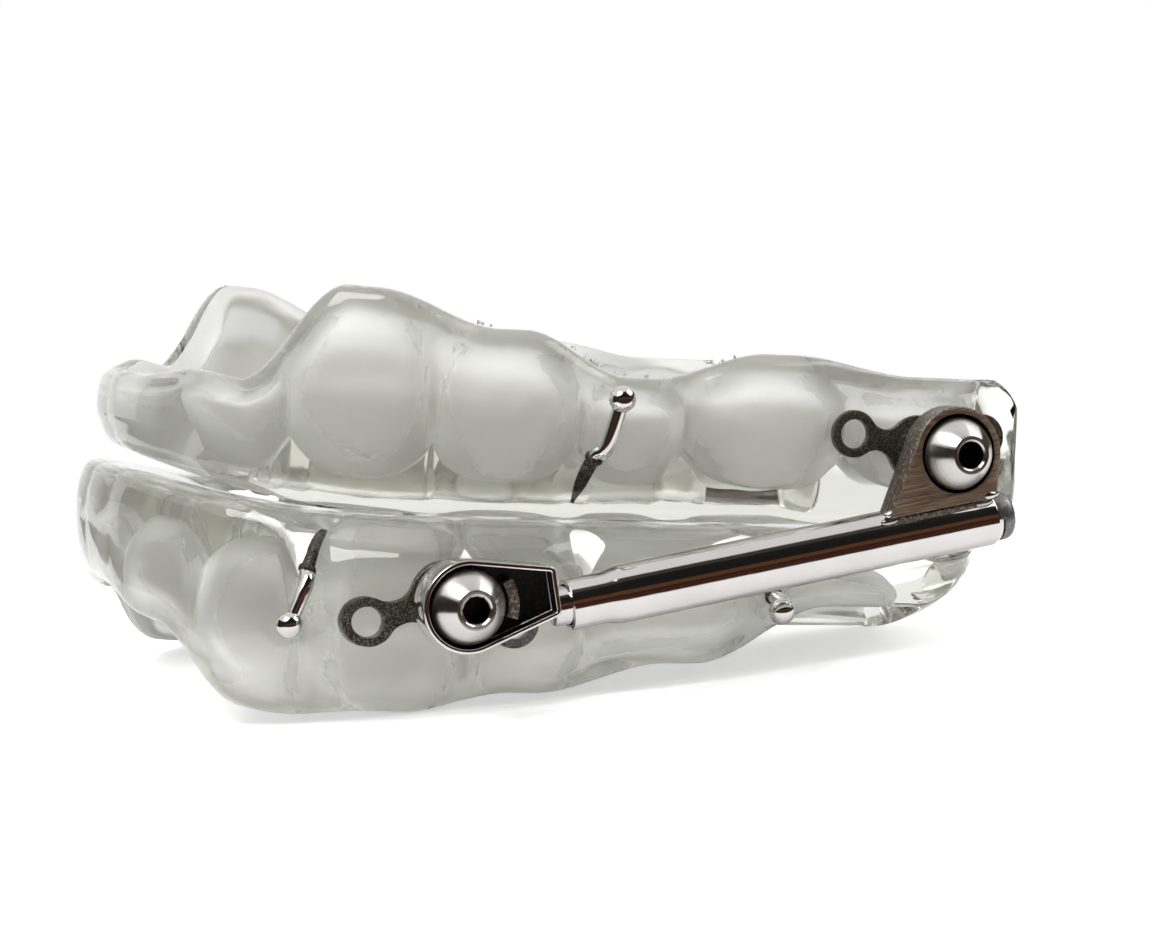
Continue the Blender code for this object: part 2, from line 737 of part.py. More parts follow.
def curve_through(points, steps=2):
    """A smooth line through points, from Catmull-Rom pieces."""
    line = []
    padded = [points[0], *points, points[-1]]
    for a, b, c, d in zip(padded, padded[1:], padded[2:], padded[3:]):
        for i in range(steps):
            t = i / steps
            line.append(0.5 * (2 * b + (c - a) * t + (2 * a - 5 * b + 4 * c - d) * t * t
                               + (3 * b - a - 3 * c + d) * t**3))
    return line + [points[-1]]


def mirrored(points, side):
    return [Vector((side * p.x, p.y, p.z)) for p in points]


def make_hook(name, route, channel, side, tray_object, finish, bite):
    """A ball-ended wire set in the tray, and the channel that holds it."""
    line = mirrored(curve_through(route), side)
    hook = add_object(name, sweep(line, WIRE_RADIUS, WIRE_SEGMENTS), finish, bite)
    ball = bmesh.new()
    bmesh.ops.create_uvsphere(
        ball, u_segments=BALL_SEGMENTS, v_segments=BALL_RINGS, radius=BALL_RADIUS
    )
    bmesh.ops.translate(ball, verts=ball.verts, vec=line[-1])
    use_tool(hook, add_object(name + ".ball", ball, None, bite), "UNION")
    tunnel = sweep(mirrored(channel, side), WIRE_RADIUS + WIRE_CLEARANCE, WIRE_SEGMENTS)
    use_tool(tray_object, add_object(name + ".channel", tunnel, None, bite), "DIFFERENCE")
    return hook


def hook_route(tray, gap, shift, height, rise, lean, hang):
    """The route of a ball hook: from inside the plastic, out of its side, to the ball."""
    mouth, out = tray.on_cheek(tray.bounds[gap] + shift, height)
    back = Vector((-out.y, out.x, 0))
    away = Vector((0, 0, tray.up))
    start = mouth - EMBED_LENGTH * (out * EMBED_SET_IN + away * hang - back * lean)
    along = (mouth - start).normalized()
    ball = mouth + out * BALL_STAND_OFF + away * rise - back * lean * rise
    route = [start, mouth, mouth + along * MOUTH_LENGTH, ball]
    channel = [start - along * WIRE_CLEARANCE, mouth + along * CHANNEL_OVERRUN]
    return route, channel


def on_axis(distance):
    """A point on a telescope's axis, by its distance behind the lower pivot."""
    y = LOWER_PIVOT[0] + distance * math.cos(SLOPE) + LOWER_DROP * math.sin(SLOPE)
    z = LOWER_PIVOT[1] + distance * math.sin(SLOPE) - LOWER_DROP * math.cos(SLOPE)
    return Vector((0, y, z))


def place_on_floor(bite, names):
    """Moves the bite frame until the middle of the box's bottom is at the origin."""
    bpy.context.view_layer.update()
    graph = bpy.context.evaluated_depsgraph_get()
    points = []
    for name in names:
        solid = bpy.data.objects[name].evaluated_get(graph)
        mesh = solid.to_mesh()
        points += [solid.matrix_world @ vert.co for vert in mesh.vertices]
        solid.to_mesh_clear()
    cloud = np.array(points)
    low, high = cloud.min(axis=0), cloud.max(axis=0)
    bite.location.y -= (low[1] + high[1]) / 2
    bite.location.z -= low[2]


# Sizes that follow from the ones above
LOWER_FRONT = UPPER_FRONT - LOWER_LEAD
LOWER_HALF_WIDTH = UPPER_HALF_WIDTH - LOWER_SET_IN
TELESCOPE_X = UPPER_HALF_WIDTH - PAD_SET_IN + TELESCOPE_STAND_OFF
LOWER_LUG_INNER = TELESCOPE_X - LOWER_LUG_THICKNESS / 2
UPPER_LUG_INNER = TELESCOPE_X + UPPER_LUG_SET_OUT - UPPER_LUG_THICKNESS / 2
BORE = ROD_RADIUS + ROD_CLEARANCE
PIVOT_SPAN = math.dist(LOWER_PIVOT, UPPER_PIVOT)
PIVOT_SLOPE = math.atan2(UPPER_PIVOT[1] - LOWER_PIVOT[1], UPPER_PIVOT[0] - LOWER_PIVOT[0])
SLOPE = PIVOT_SLOPE - math.asin((UPPER_DROP - LOWER_DROP) / PIVOT_SPAN)
UPPER_FOOT = math.sqrt(PIVOT_SPAN**2 - (UPPER_DROP - LOWER_DROP) ** 2)
TUBE_START = LOWER_LUG_REACH + STOP_GAP
TUBE_LENGTH = UPPER_FOOT - TUBE_START + TUBE_BEHIND_HUB
ROD_END = TUBE_START + TUBE_LENGTH - PLUG_SPIGOT - ROD_END_GAP


def main():
    clear_scene()
    acrylic = material("clear_acrylic", (0.80, 0.83, 0.79), 0.06, transmission=1.0)
    bright = material("polished_steel", (0.60, 0.58, 0.55), 0.16, metallic=1.0)
    satin = material("satin_steel", (0.58, 0.56, 0.53), 0.30, metallic=1.0)
    dark = material("sintered_steel", (0.10, 0.09, 0.08), 0.55, metallic=0.7)
    grey = material("dark_satin_steel", (0.18, 0.18, 0.18), 0.35, metallic=0.9)
    upper = Tray(UPPER_TEETH, UPPER_FRONT, UPPER_HALF_WIDTH, UPPER_DISTAL_WALL, 1, UPPER_PIVOT,
                 UPPER_ARM_OFFSET, 0.0)
    lower = Tray(LOWER_TEETH, LOWER_FRONT, LOWER_HALF_WIDTH, LOWER_DISTAL_WALL, -1, LOWER_PIVOT,
                 LOWER_ARM_OFFSET, LOWER_BEND)
    lower_shape = lower.shape()
    cloud = np.array([vert.co[:] for vert in lower_shape.verts])
    tilt = standing_tilt(cloud)
    floor = min(level(cloud, tilt)) + STAND_TRIM
    bite = add_empty("bite_frame")
    bite.rotation_euler.x = tilt
    lower_tray = add_object("lower_splint", trim_flat(lower_shape, tilt, floor), acrylic, bite)
    upper_tray = add_object("upper_splint", upper.shape(), acrylic, bite)
    for word, side in SIDES:
        for label, tray, carrier in (("upper", upper, upper_tray), ("lower", lower, lower_tray)):
            name = f"{word}_{label}_anchor"
            make_anchor(name, tray, side, dark, bite)
            make_pocket(name, tray, side, carrier, bite)
            make_screw(f"{word}_{label}_pivot_screw", tray, side, satin, bite)
        make_rod(f"{word}_rod", side, bright, bite)
        make_tube(f"{word}_tube", side, bright, bite)
        make_plug(f"{word}_tube_end_plug", side, grey, bite)
        for label, which, *place in HOOKS:
            tray, carrier = (upper, upper_tray) if which == "upper" else (lower, lower_tray)
            route, channel = hook_route(tray, *place)
            make_hook(f"{word}_{label}", route, channel, side, carrier, bright, bite)
    names = [o.name for o in bpy.data.objects if o.type == "MESH" and not o.hide_render]
    place_on_floor(bite, names)


main()
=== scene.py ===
"""Looks of a clear mandibular advancement splint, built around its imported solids.

Lengths are in metres. Most pieces are drawn in a bite frame, whose XY plane is the plane in
which the molars of the two trays meet, and are then carried to their place on the floor.
"""

import json
import math

import bmesh
import bpy
import numpy as np
from mathutils import Matrix, Vector
from mathutils.geometry import convex_hull_2d

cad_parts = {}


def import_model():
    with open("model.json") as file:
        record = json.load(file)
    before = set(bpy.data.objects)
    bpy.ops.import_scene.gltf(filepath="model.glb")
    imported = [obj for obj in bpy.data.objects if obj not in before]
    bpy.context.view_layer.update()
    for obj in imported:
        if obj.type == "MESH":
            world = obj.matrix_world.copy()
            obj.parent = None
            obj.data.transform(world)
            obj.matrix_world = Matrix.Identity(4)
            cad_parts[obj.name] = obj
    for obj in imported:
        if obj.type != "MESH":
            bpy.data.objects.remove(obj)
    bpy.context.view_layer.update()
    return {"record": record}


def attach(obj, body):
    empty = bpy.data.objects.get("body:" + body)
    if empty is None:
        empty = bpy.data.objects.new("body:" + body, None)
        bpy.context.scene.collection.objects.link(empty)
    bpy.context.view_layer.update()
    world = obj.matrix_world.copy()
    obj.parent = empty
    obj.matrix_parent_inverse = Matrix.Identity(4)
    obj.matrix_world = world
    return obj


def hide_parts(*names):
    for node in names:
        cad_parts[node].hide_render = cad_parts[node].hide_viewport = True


# The bite frame
BITE_TILT = math.radians(-7.987605706006431)
BITE_PLACE = (0.0, -0.0026718219742178917, 0.010690925642848015)

# Trays: the arch in plan
ARCH_POWER = 3.0
ARCH_STRAIGHT = 0.024
ARCH_STEPS = 1600
UPPER_FRONT = -0.0250
LOWER_LEAD = 0.0012
UPPER_HALF_WIDTH = 0.0260
LOWER_SET_IN = 0.0004

# Trays: the outside of the section
WALL = 0.0019
MARGIN_THICKNESS = 0.0017
MARGIN_INSIDE = 0.0024
CREST_TRIM = 0.0002
MARGIN_LEAN = 0.0006
MARGIN_ROUND = 0.0006
BITE_ROUND = 0.0015
BITE_GAP = 0.0003
FRONT_RISE = 0.00125
RISE_START = 0.010
OUTER_DIP = 0.035
LEAN_FROM = 0.72
BULGE_AT = 0.38
DIP_POWER = 3
BITE_CORNER = ((0.2, 1.0), (0.5, 0.3), (1.2, 0.0))
STEP_REACH = 0.8
CORNER_CUTS = 2
MARGIN_FACES = 2

# Trays: the ends behind the last molars
UPPER_DISTAL_WALL = 0.0036
LOWER_DISTAL_WALL = 0.0048
DISTAL_DROP = 0.50
DISTAL_TAPER = 0.85
DISTAL_CROWN = 0.0004
DISTAL_SPREAD = 0.8

# Trays: the imprint of a tooth. Each level gives a share of the height from the floor to the
# margin, how much of the way from the floor's width to the tooth's width it has reached, and
# how far it swells past that width
BITE_THICKNESS = 0.0023
PAPILLA = 0.0020
PAPILLA_POWER = 3
EMBRASURE = 0.60
OVAL_POWER = 2.0
OVAL_SPREAD = 2.0
OVAL_WIDTH = 0.97
OVAL_END = 0.985
WIDEST_LEVEL = 0.48
NECK_NARROWING = 0.42
EDGE_NARROWING = 0.26
IMPRINT_LEVELS = (
    (0.00, -0.10, 0.0000),
    (0.04, 0.14, 0.0000),
    (0.11, 0.42, 0.0000),
    (0.20, 0.68, 0.0001),
    (0.31, 0.87, 0.0001),
    (0.44, 0.97, 0.0002),
    (0.56, 1.00, 0.0002),
    (0.67, 1.00, 0.0002),
    (0.76, 1.00, -0.0001),
    (0.83, 1.00, -0.0005),
    (0.90, 1.00, -0.0009),
)
TOOTH_STATIONS = 16
DISTAL_STATIONS = 12

# Trays: the flats round the anchor plates
PAD_SET_IN = 0.0008
PAD_MARGIN = 0.0004
PAD_HALF_HEIGHT = 0.0038
PAD_RUNOUT = 0.0030
PAD_END = 0.6
PAD_FADE = (0.0003, 0.0015)
PAD_COVER = 0.00012

# Each tooth: width, half depth, cheek margin, tongue margin, share of the depth that the
# imprint keeps at its floor, and height of the fissure ridge in its middle
WIDTH, HALF_DEPTH, CHEEK, TONGUE, FLOOR_SHARE, FISSURE = range(6)
UPPER_TEETH = (
    (0.0083, 0.0034, 0.0058, 0.0070, 0.30, 0.0000),
    (0.0068, 0.0034, 0.0072, 0.0072, 0.30, 0.0000),
    (0.0082, 0.0040, 0.0142, 0.0080, 0.34, 0.0000),
    (0.0085, 0.0044, 0.0120, 0.0084, 0.62, 0.0008),
    (0.0066, 0.0045, 0.0093, 0.0086, 0.62, 0.0008),
    (0.0107, 0.0050, 0.0111, 0.0086, 0.74, 0.0011),
    (0.0088, 0.0049, 0.0100, 0.0080, 0.74, 0.0011),
)
LOWER_TEETH = (
    (0.0056, 0.0029, 0.0084, 0.0084, 0.30, 0.0000),
    (0.0060, 0.0030, 0.0094, 0.0088, 0.30, 0.0000),
    (0.0072, 0.0038, 0.0131, 0.0094, 0.34, 0.0000),
    (0.0076, 0.0040, 0.0122, 0.0092, 0.60, 0.0007),
    (0.0076, 0.0042, 0.0108, 0.0090, 0.60, 0.0007),
    (0.0110, 0.0049, 0.0088, 0.0084, 0.74, 0.0011),
    (0.0104, 0.0048, 0.0052, 0.0076, 0.74, 0.0011),
)

# Pivots: (y, z) in the bite frame
LOWER_PIVOT = (-0.0080, -0.0044)
UPPER_PIVOT = (0.0228, 0.0053)

# Anchor plates
PLATE_THICKNESS = 0.0008
DISC_RADIUS = 0.0021
RING_RADIUS = 0.0015
RING_HOLE_RADIUS = 0.00092
NECK_HALF_WIDTH = 0.0007
ARM_REACH = 0.0045
UPPER_ARM_OFFSET = 0.0008
LOWER_ARM_OFFSET = 0.0016
BEND_START = 0.0024
LOWER_BEND = math.radians(20)
BOSS_RADIUS = 0.00145
BOSS_PROUD = 0.0001
FILLET_RANGE = (0.00001, 0.05)
FILLET_HALVINGS = 60
FILLET_STEPS = 12
RING_STEPS = 48
DISC_STEPS = 16

# Pivot screws
HEAD_RADIUS = 0.00225
HEAD_RIM = 0.0005
HEAD_CONE = 0.0017
HEAD_TOP_RADIUS = 0.00118
HEAD_BOW = 0.00013
CONE_STEPS = 4
SOCKET_RADIUS = 0.00086
SOCKET_ROUND = 0.00080
SOCKET_DEPTH = 0.0011
SOCKET_CHAMFER = 0.00010
SHANK_RADIUS = 0.00075
SEAT_GAP = 0.00006

# Lugs
UPPER_LUG_FLOOR = 0.0011
LOWER_LUG_FLOOR = 0.0014
LUG_WALL = 0.0003
LOWER_LUG_THICKNESS = 0.0024
UPPER_LUG_THICKNESS = 0.0018
UPPER_LUG_SET_OUT = 0.0009
UPPER_LUG_RADIUS = 0.0029
UPPER_LUG_FOOT_FRONT = 0.0052
HEAD_CLEARANCE = 0.0002
LOWER_LUG_REACH = 0.0055
LOWER_LUG_ABOVE = 0.00145
LOWER_LUG_BELOW = 0.0016
LUG_CORNER = 0.0004
RIDGE_WIDTH = 0.00065
RIDGE_DROP = 0.00025
RIDGE_STEPS = 24
LUG_CORNER_STEPS = 32
WELD_RADIUS = 0.00042
WELD_SIZES = (1.0, 1.2)
WELD_SHAPE = (1, 1.5, 0.7)

# Telescopes
TELESCOPE_STAND_OFF = 0.0037
LOWER_DROP = 0.0012
UPPER_DROP = 0.0046
ROD_RADIUS = 0.00115
ROD_CLEARANCE = 0.0001
TUBE_RADIUS = 0.00175
TUBE_BEHIND_HUB = 0.0026
TUBE_NOSE_RADIUS = 0.00154
TUBE_NOSE_LENGTH = 0.0023
TUBE_NOSE_TAPER = 0.0011
NOSE_ANGLE = 20
TUBE_SHOULDER = 0.0004
STOP_GAP = 0.0007
ROD_END_GAP = 0.0022
PLUG_LENGTH = 0.00105
PLUG_SPIGOT = 0.0018
PLUG_GAP = 0.00012
PLUG_STEP = 0.00035
PLUG_ROUND = 0.00055
PLUG_ROUND_STEPS = 6
SNAP = 0.000001

# Ball hooks
BALL_RADIUS = 0.000825
WIRE_RADIUS = 0.00045
COLLAR_RADIUS = 0.00058
COLLAR_LENGTH = 0.00035
MOUTH_LENGTH = 0.0009
EMBED_LENGTH = 0.0030
EMBED_SET_IN = 0.5
BALL_STAND_OFF = 0.0015
EMBED_TAPER = 0.7
EMBED_TAPER_POWER = 4
HOOK_BOW = 0.0003
HOOK_SWING = 0.00035
WIRE_STEPS = 12
WIRE_ROUND = 6

# Each hook: name, tray, tooth gap, shift along the arch, height of its mouth, rise to its ball,
# lean to the front, and how steeply its buried end runs towards the bite
HOOKS = (
    ("upper_ball_hook", "upper", 4, 0.0004, 0.0040, 0.0037, -0.35, 0.9),
    ("lower_front_ball_hook", "lower", 3, -0.0010, 0.0033, 0.0032, 0.20, 0.75),
    ("lower_rear_ball_clasp", "lower", 6, 0.0, 0.0040, 0.0008, 0.0, 0.2),
)

# Rough trimming left on the upper margin: place along the arch, number of flakes
TRIM_FLAKES = ((0.0255, 3), (0.0318, 8), (0.0345, 7), (0.0402, 4))
FLAKE_SIZE = 0.00014
FLAKE_SEED = 7
FLAKE_SPREAD = 0.0012
FLAKE_ACROSS = (0.1, 0.9)
FLAKE_SIDES = 5
FLAKE_WIDTHS = (0.5, 1.1)
FLAKE_LENGTHS = (1.0, 2.4)
FLAKE_TURN = 0.9

# How round each piece's edges are
PLATE_EDGE = 0.00012
SCREW_EDGE = 0.00005
CUP_EDGE = 0.00009
RIDGE_EDGE = 0.00006
ROD_EDGE = 0.00015
TUBE_EDGE = 0.00006
LUG_EDGE = 0.00010
PLUG_EDGE = 0.00004
COLLAR_EDGE = 0.00010
EDGE_STEPS = 3
NEAR_EDGE = 0.00007
SHARP_ANGLE = 30
SMOOTH_ANGLE = math.radians(40)

# How square to a direction a face must be to count as facing it
SQUARE_ON = 0.99
LUG_FACE = 0.95
FLAT_FACE = 0.9

# Sides of round pieces
FINE = 96
BALL_SIDES = 48
WELD_SIDES = 24

# Camera, with the focal length in pixels of the 1152 x 928 picture
CAMERA_PLACE = (0.1700, -0.05078, 0.02973)
CAMERA_AZIMUTH = math.radians(71.5)
CAMERA_ELEVATION = math.radians(5.7)
CAMERA_ROLL = math.radians(-5.2)
FOCAL_PIXELS = 2530
PICTURE_WIDTH = 1152
SENSOR = 36.0
CAMERA_NEAR = 0.01

# Plastic: what it takes from the light, how fast, and how clear each tray's imprints are
ACRYLIC_TINT = (0.80, 0.80, 0.735)
ACRYLIC_DENSITY = 45
IMPRINT_CLEARNESS = (("upper", 0.66), ("lower", 0.76))

# Node patterns, and the places of a colour Mix node's sockets
PIT_EDGE = 0.12
STROKE_STRETCH = 0.06
MIX_LOW, MIX_HIGH, MIX_RESULT = 6, 7, 2

# World and floor
SOFT_COLOUR = (0.87, 0.87, 0.88)
SOFT_STRENGTH = 0.90
FLOOR_SIZE = 6
FLOOR_DROP = 0.0002
FLOOR_COLOUR = (0.80, 0.80, 0.80)
FLOOR_LIFT = 0.42
FLOOR_FADE = (0.06, 0.14)

# Cards that only reflections show: name, centre, width, height, the way they face, colour
CARDS = (
    ("upper_card", (0.30, 0.0, 0.60), 1.20, 0.40, (-1, 0, 0), (0.055, 0.055, 0.048)),
    ("dark_card", (0.30, 0.0, 0.25), 1.20, 0.30, (-1, 0, 0), (0.016, 0.015, 0.013)),
    ("brown_card", (0.30, 0.0, 0.065), 1.20, 0.07, (-1, 0, 0), (0.13, 0.055, 0.028)),
    ("low_card", (0.30, 0.0, 0.015), 1.20, 0.03, (-1, 0, 0), (0.045, 0.016, 0.010)),
    ("front_card", (0.0, -0.32, 0.10), 0.60, 0.20, (0, 1, 0), (0.030, 0.026, 0.022)),
    ("rear_card", (0.0, 0.36, 0.08), 0.60, 0.16, (0, -1, 0), (0.060, 0.052, 0.045)),
    ("table_card", (0.175, 0.0, 0.0006), 0.25, 0.60, (0, 0, 1), (0.060, 0.026, 0.016)),
    ("front_table_card", (-0.04, -0.22, 0.0004), 0.26, 0.32, (0, 0, 1), (0.032, 0.027, 0.022)),
)

# Lamps: name, place, size, power
LAMPS = (
    ("key", (0.20, -0.22, 0.42), (0.30, 0.30), 2.4),
    ("fill", (0.12, 0.40, 0.34), (0.40, 0.30), 1.2),
)
LAMP_TARGET = (0, 0, 0.012)

# Sizes that follow from the ones above
LOWER_FRONT = UPPER_FRONT - LOWER_LEAD
LOWER_HALF_WIDTH = UPPER_HALF_WIDTH - LOWER_SET_IN
UPPER_PAD_X = UPPER_HALF_WIDTH - PAD_SET_IN
LOWER_PAD_X = LOWER_HALF_WIDTH - PAD_SET_IN
TELESCOPE_X = UPPER_PAD_X + TELESCOPE_STAND_OFF
LOWER_LUG_INNER = TELESCOPE_X - LOWER_LUG_THICKNESS / 2
UPPER_LUG_INNER = TELESCOPE_X + UPPER_LUG_SET_OUT - UPPER_LUG_THICKNESS / 2
BORE = ROD_RADIUS + ROD_CLEARANCE
PIVOT_SPAN = math.dist(LOWER_PIVOT, UPPER_PIVOT)
PIVOT_SLOPE = math.atan2(UPPER_PIVOT[1] - LOWER_PIVOT[1], UPPER_PIVOT[0] - LOWER_PIVOT[0])
SLOPE = PIVOT_SLOPE - math.asin((UPPER_DROP - LOWER_DROP) / PIVOT_SPAN)
UPPER_FOOT = math.sqrt(PIVOT_SPAN**2 - (UPPER_DROP - LOWER_DROP) ** 2)
TUBE_START = LOWER_LUG_REACH + STOP_GAP
TUBE_LENGTH = UPPER_FOOT - TUBE_START + TUBE_BEHIND_HUB
ROD_END = TUBE_START + TUBE_LENGTH - PLUG_SPIGOT - ROD_END_GAP


# Places


def bite_frame():
    return Matrix.Translation(BITE_PLACE) @ Matrix.Rotation(BITE_TILT, 4, "X")


def pivot_frame(pivot):
    """On a pivot, with X out to the cheek and Y along the bite."""
    return bite_frame() @ Matrix.Translation((0, *pivot))


def rod_frame():
    """On the lower pivot, with Y along the telescope."""
    return pivot_frame(LOWER_PIVOT) @ Matrix.Rotation(SLOPE, 4, "X")


def tube_frame():
    """On the telescope's axis where the tube starts, with Y along the tube."""
    return rod_frame() @ Matrix.Translation((0, TUBE_START, -LOWER_DROP))


# Modelling by hand


def select_nothing():
    bpy.ops.object.select_all(action="DESELECT")


def only(piece):
    select_nothing()
    piece.select_set(True)
    bpy.context.view_layer.objects.active = piece


def new_object(name, data):
    """A new object for a mesh, curve, lamp or camera, in the scene."""
    made = bpy.data.objects.new(name, data)
    bpy.context.scene.collection.objects.link(made)
    return made


def paint(piece, *finishes):
    """Gives a piece its finishes, in the order of their numbers."""
    for finish in finishes:
        piece.data.materials.append(finish)


def edit(piece):
    """Opens a piece in edit mode."""
    only(piece)
    bpy.ops.object.mode_set(mode="EDIT")


def close():
    """Leaves edit mode."""
    bpy.ops.object.mode_set(mode="OBJECT")


def pick_faces(piece, wanted):
    """In edit mode, selects just the faces for which wanted(face) holds."""
    bpy.ops.mesh.select_mode(type="FACE")
    bpy.ops.mesh.select_all(action="DESELECT")
    shape = bmesh.from_edit_mesh(piece.data)
    for face in shape.faces:
        face.select_set(bool(wanted(face)))
    shape.select_flush_mode()
    bmesh.update_edit_mesh(piece.data)


def facing(direction):
    direction = Vector(direction)
    return lambda face: face.normal.dot(direction) > SQUARE_ON


def cylinder(name, radius, start, end, axis="X", centre=(0, 0, 0), sides=FINE):
    """A cylinder between two places on an axis through the centre."""
    middle = Vector(centre)
    middle["XYZ".index(axis)] += (start + end) / 2
    turn = {"X": (0, math.pi / 2, 0), "Y": (math.pi / 2, 0, 0), "Z": (0, 0, 0)}[axis]
    select_nothing()
    bpy.ops.mesh.primitive_cylinder_add(
        vertices=sides, radius=radius, depth=abs(end - start), location=middle, rotation=turn
    )
    piece = bpy.context.object
    piece.name = name
    bpy.ops.object.transform_apply()
    return piece


def pull(along, size=1.0):
    """Extrudes the selected faces along X, and scales them about the X axis."""
    bpy.ops.mesh.extrude_region_move(TRANSFORM_OT_translate={"value": (along, 0, 0)})
    if size != 1.0:
        bpy.ops.transform.resize(value=(1, size, size), center_override=(0, 0, 0))


def cut(piece, cutter, operation="DIFFERENCE"):
    """A Boolean with a tool that isn't kept."""
    boolean = piece.modifiers.new(cutter.name, "BOOLEAN")
    boolean.operation = operation
    boolean.solver = "EXACT"
    boolean.object = cutter
    only(piece)
    bpy.ops.object.modifier_apply(modifier=boolean.name)
    bpy.data.objects.remove(cutter, do_unlink=True)


def soften(piece, width, limit=SHARP_ANGLE):
    """Rounds the edges sharper than a limit in degrees, and smooths the rest."""
    only(piece)
    bevel = piece.modifiers.new("edge_round", "BEVEL")
    bevel.width = width
    bevel.segments = EDGE_STEPS
    bevel.limit_method = "ANGLE"
    bevel.angle_limit = math.radians(limit)
    bpy.ops.object.modifier_apply(modifier=bevel.name)
    bpy.ops.object.shade_smooth_by_angle(angle=SMOOTH_ANGLE)


def join(name, *pieces):
    select_nothing()
    for piece in pieces:
        piece.select_set(True)
    bpy.context.view_layer.objects.active = pieces[0]
    bpy.ops.object.join()
    pieces[0].name = name
    pieces[0].data.name = name
    return pieces[0]


def settle(piece, place):
    """Carries a piece from its own frame to its place, which goes into its mesh."""
    only(piece)
    piece.matrix_world = place @ piece.matrix_world
    bpy.ops.object.transform_apply()
    return piece


def opposite(piece, name):
    """The same piece for the right side, mirrored, with its own mesh."""
    only(piece)
    bpy.ops.object.duplicate()
    copy = bpy.context.object
    copy.name = name
    copy.data.name = name
    edit(copy)
    bpy.ops.mesh.select_all(action="SELECT")
    bpy.ops.transform.resize(value=(-1, 1, 1), center_override=(0, 0, 0))
    bpy.ops.mesh.normals_make_consistent(inside=False)
    close()
    return copy


def profile_plate(name, outline, inner, outer):
    """A flat plate square to X with a drawn outline of (y, z) points."""
    mesh = bpy.data.meshes.new(name)
    mesh.from_pydata([(inner, y, z) for y, z in outline], [], [range(len(outline))])
    plate = new_object(name, mesh)
    edit(plate)
    bpy.ops.mesh.select_all(action="SELECT")
    pull(outer - inner)
    bpy.ops.mesh.select_all(action="SELECT")
    bpy.ops.mesh.normals_make_consistent(inside=False)
    close()
    return plate


def arc(centre, radius, start, end, steps):
    angles = [start + (end - start) * i / steps for i in range(steps + 1)]
    return [(centre[0] + radius * math.cos(a), centre[1] + radius * math.sin(a)) for a in angles]


def circle(centre, radius, steps=FINE):
    return arc(centre, radius, 0, 2 * math.pi * (1 - 1 / steps), steps - 1)


def hull(points):
    return [points[i] for i in convex_hull_2d([Vector(p) for p in points])]


# The two moulded trays


def eased(places, values, at):
    """Values joined from place to place by smooth steps, each shorter than its span."""
    i = int(np.clip(np.searchsorted(places, at) - 1, 0, len(places) - 2))
    share = (at - places[i]) / (places[i + 1] - places[i])
    share = np.clip(0.5 + (share - 0.5) / STEP_REACH, 0, 1)
    share = share * share * (3 - 2 * share)
    return values[i] + (values[i + 1] - values[i]) * share


def cut_corners(points, times):
    """Rounds a closed line of points by cutting its corners."""
    points = np.array(points)
    for _ in range(times):
        after = np.roll(points, -1, axis=0)
        both = np.stack([0.75 * points + 0.25 * after, 0.25 * points + 0.75 * after], axis=1)
        points = both.reshape(-1, points.shape[1])
    return points


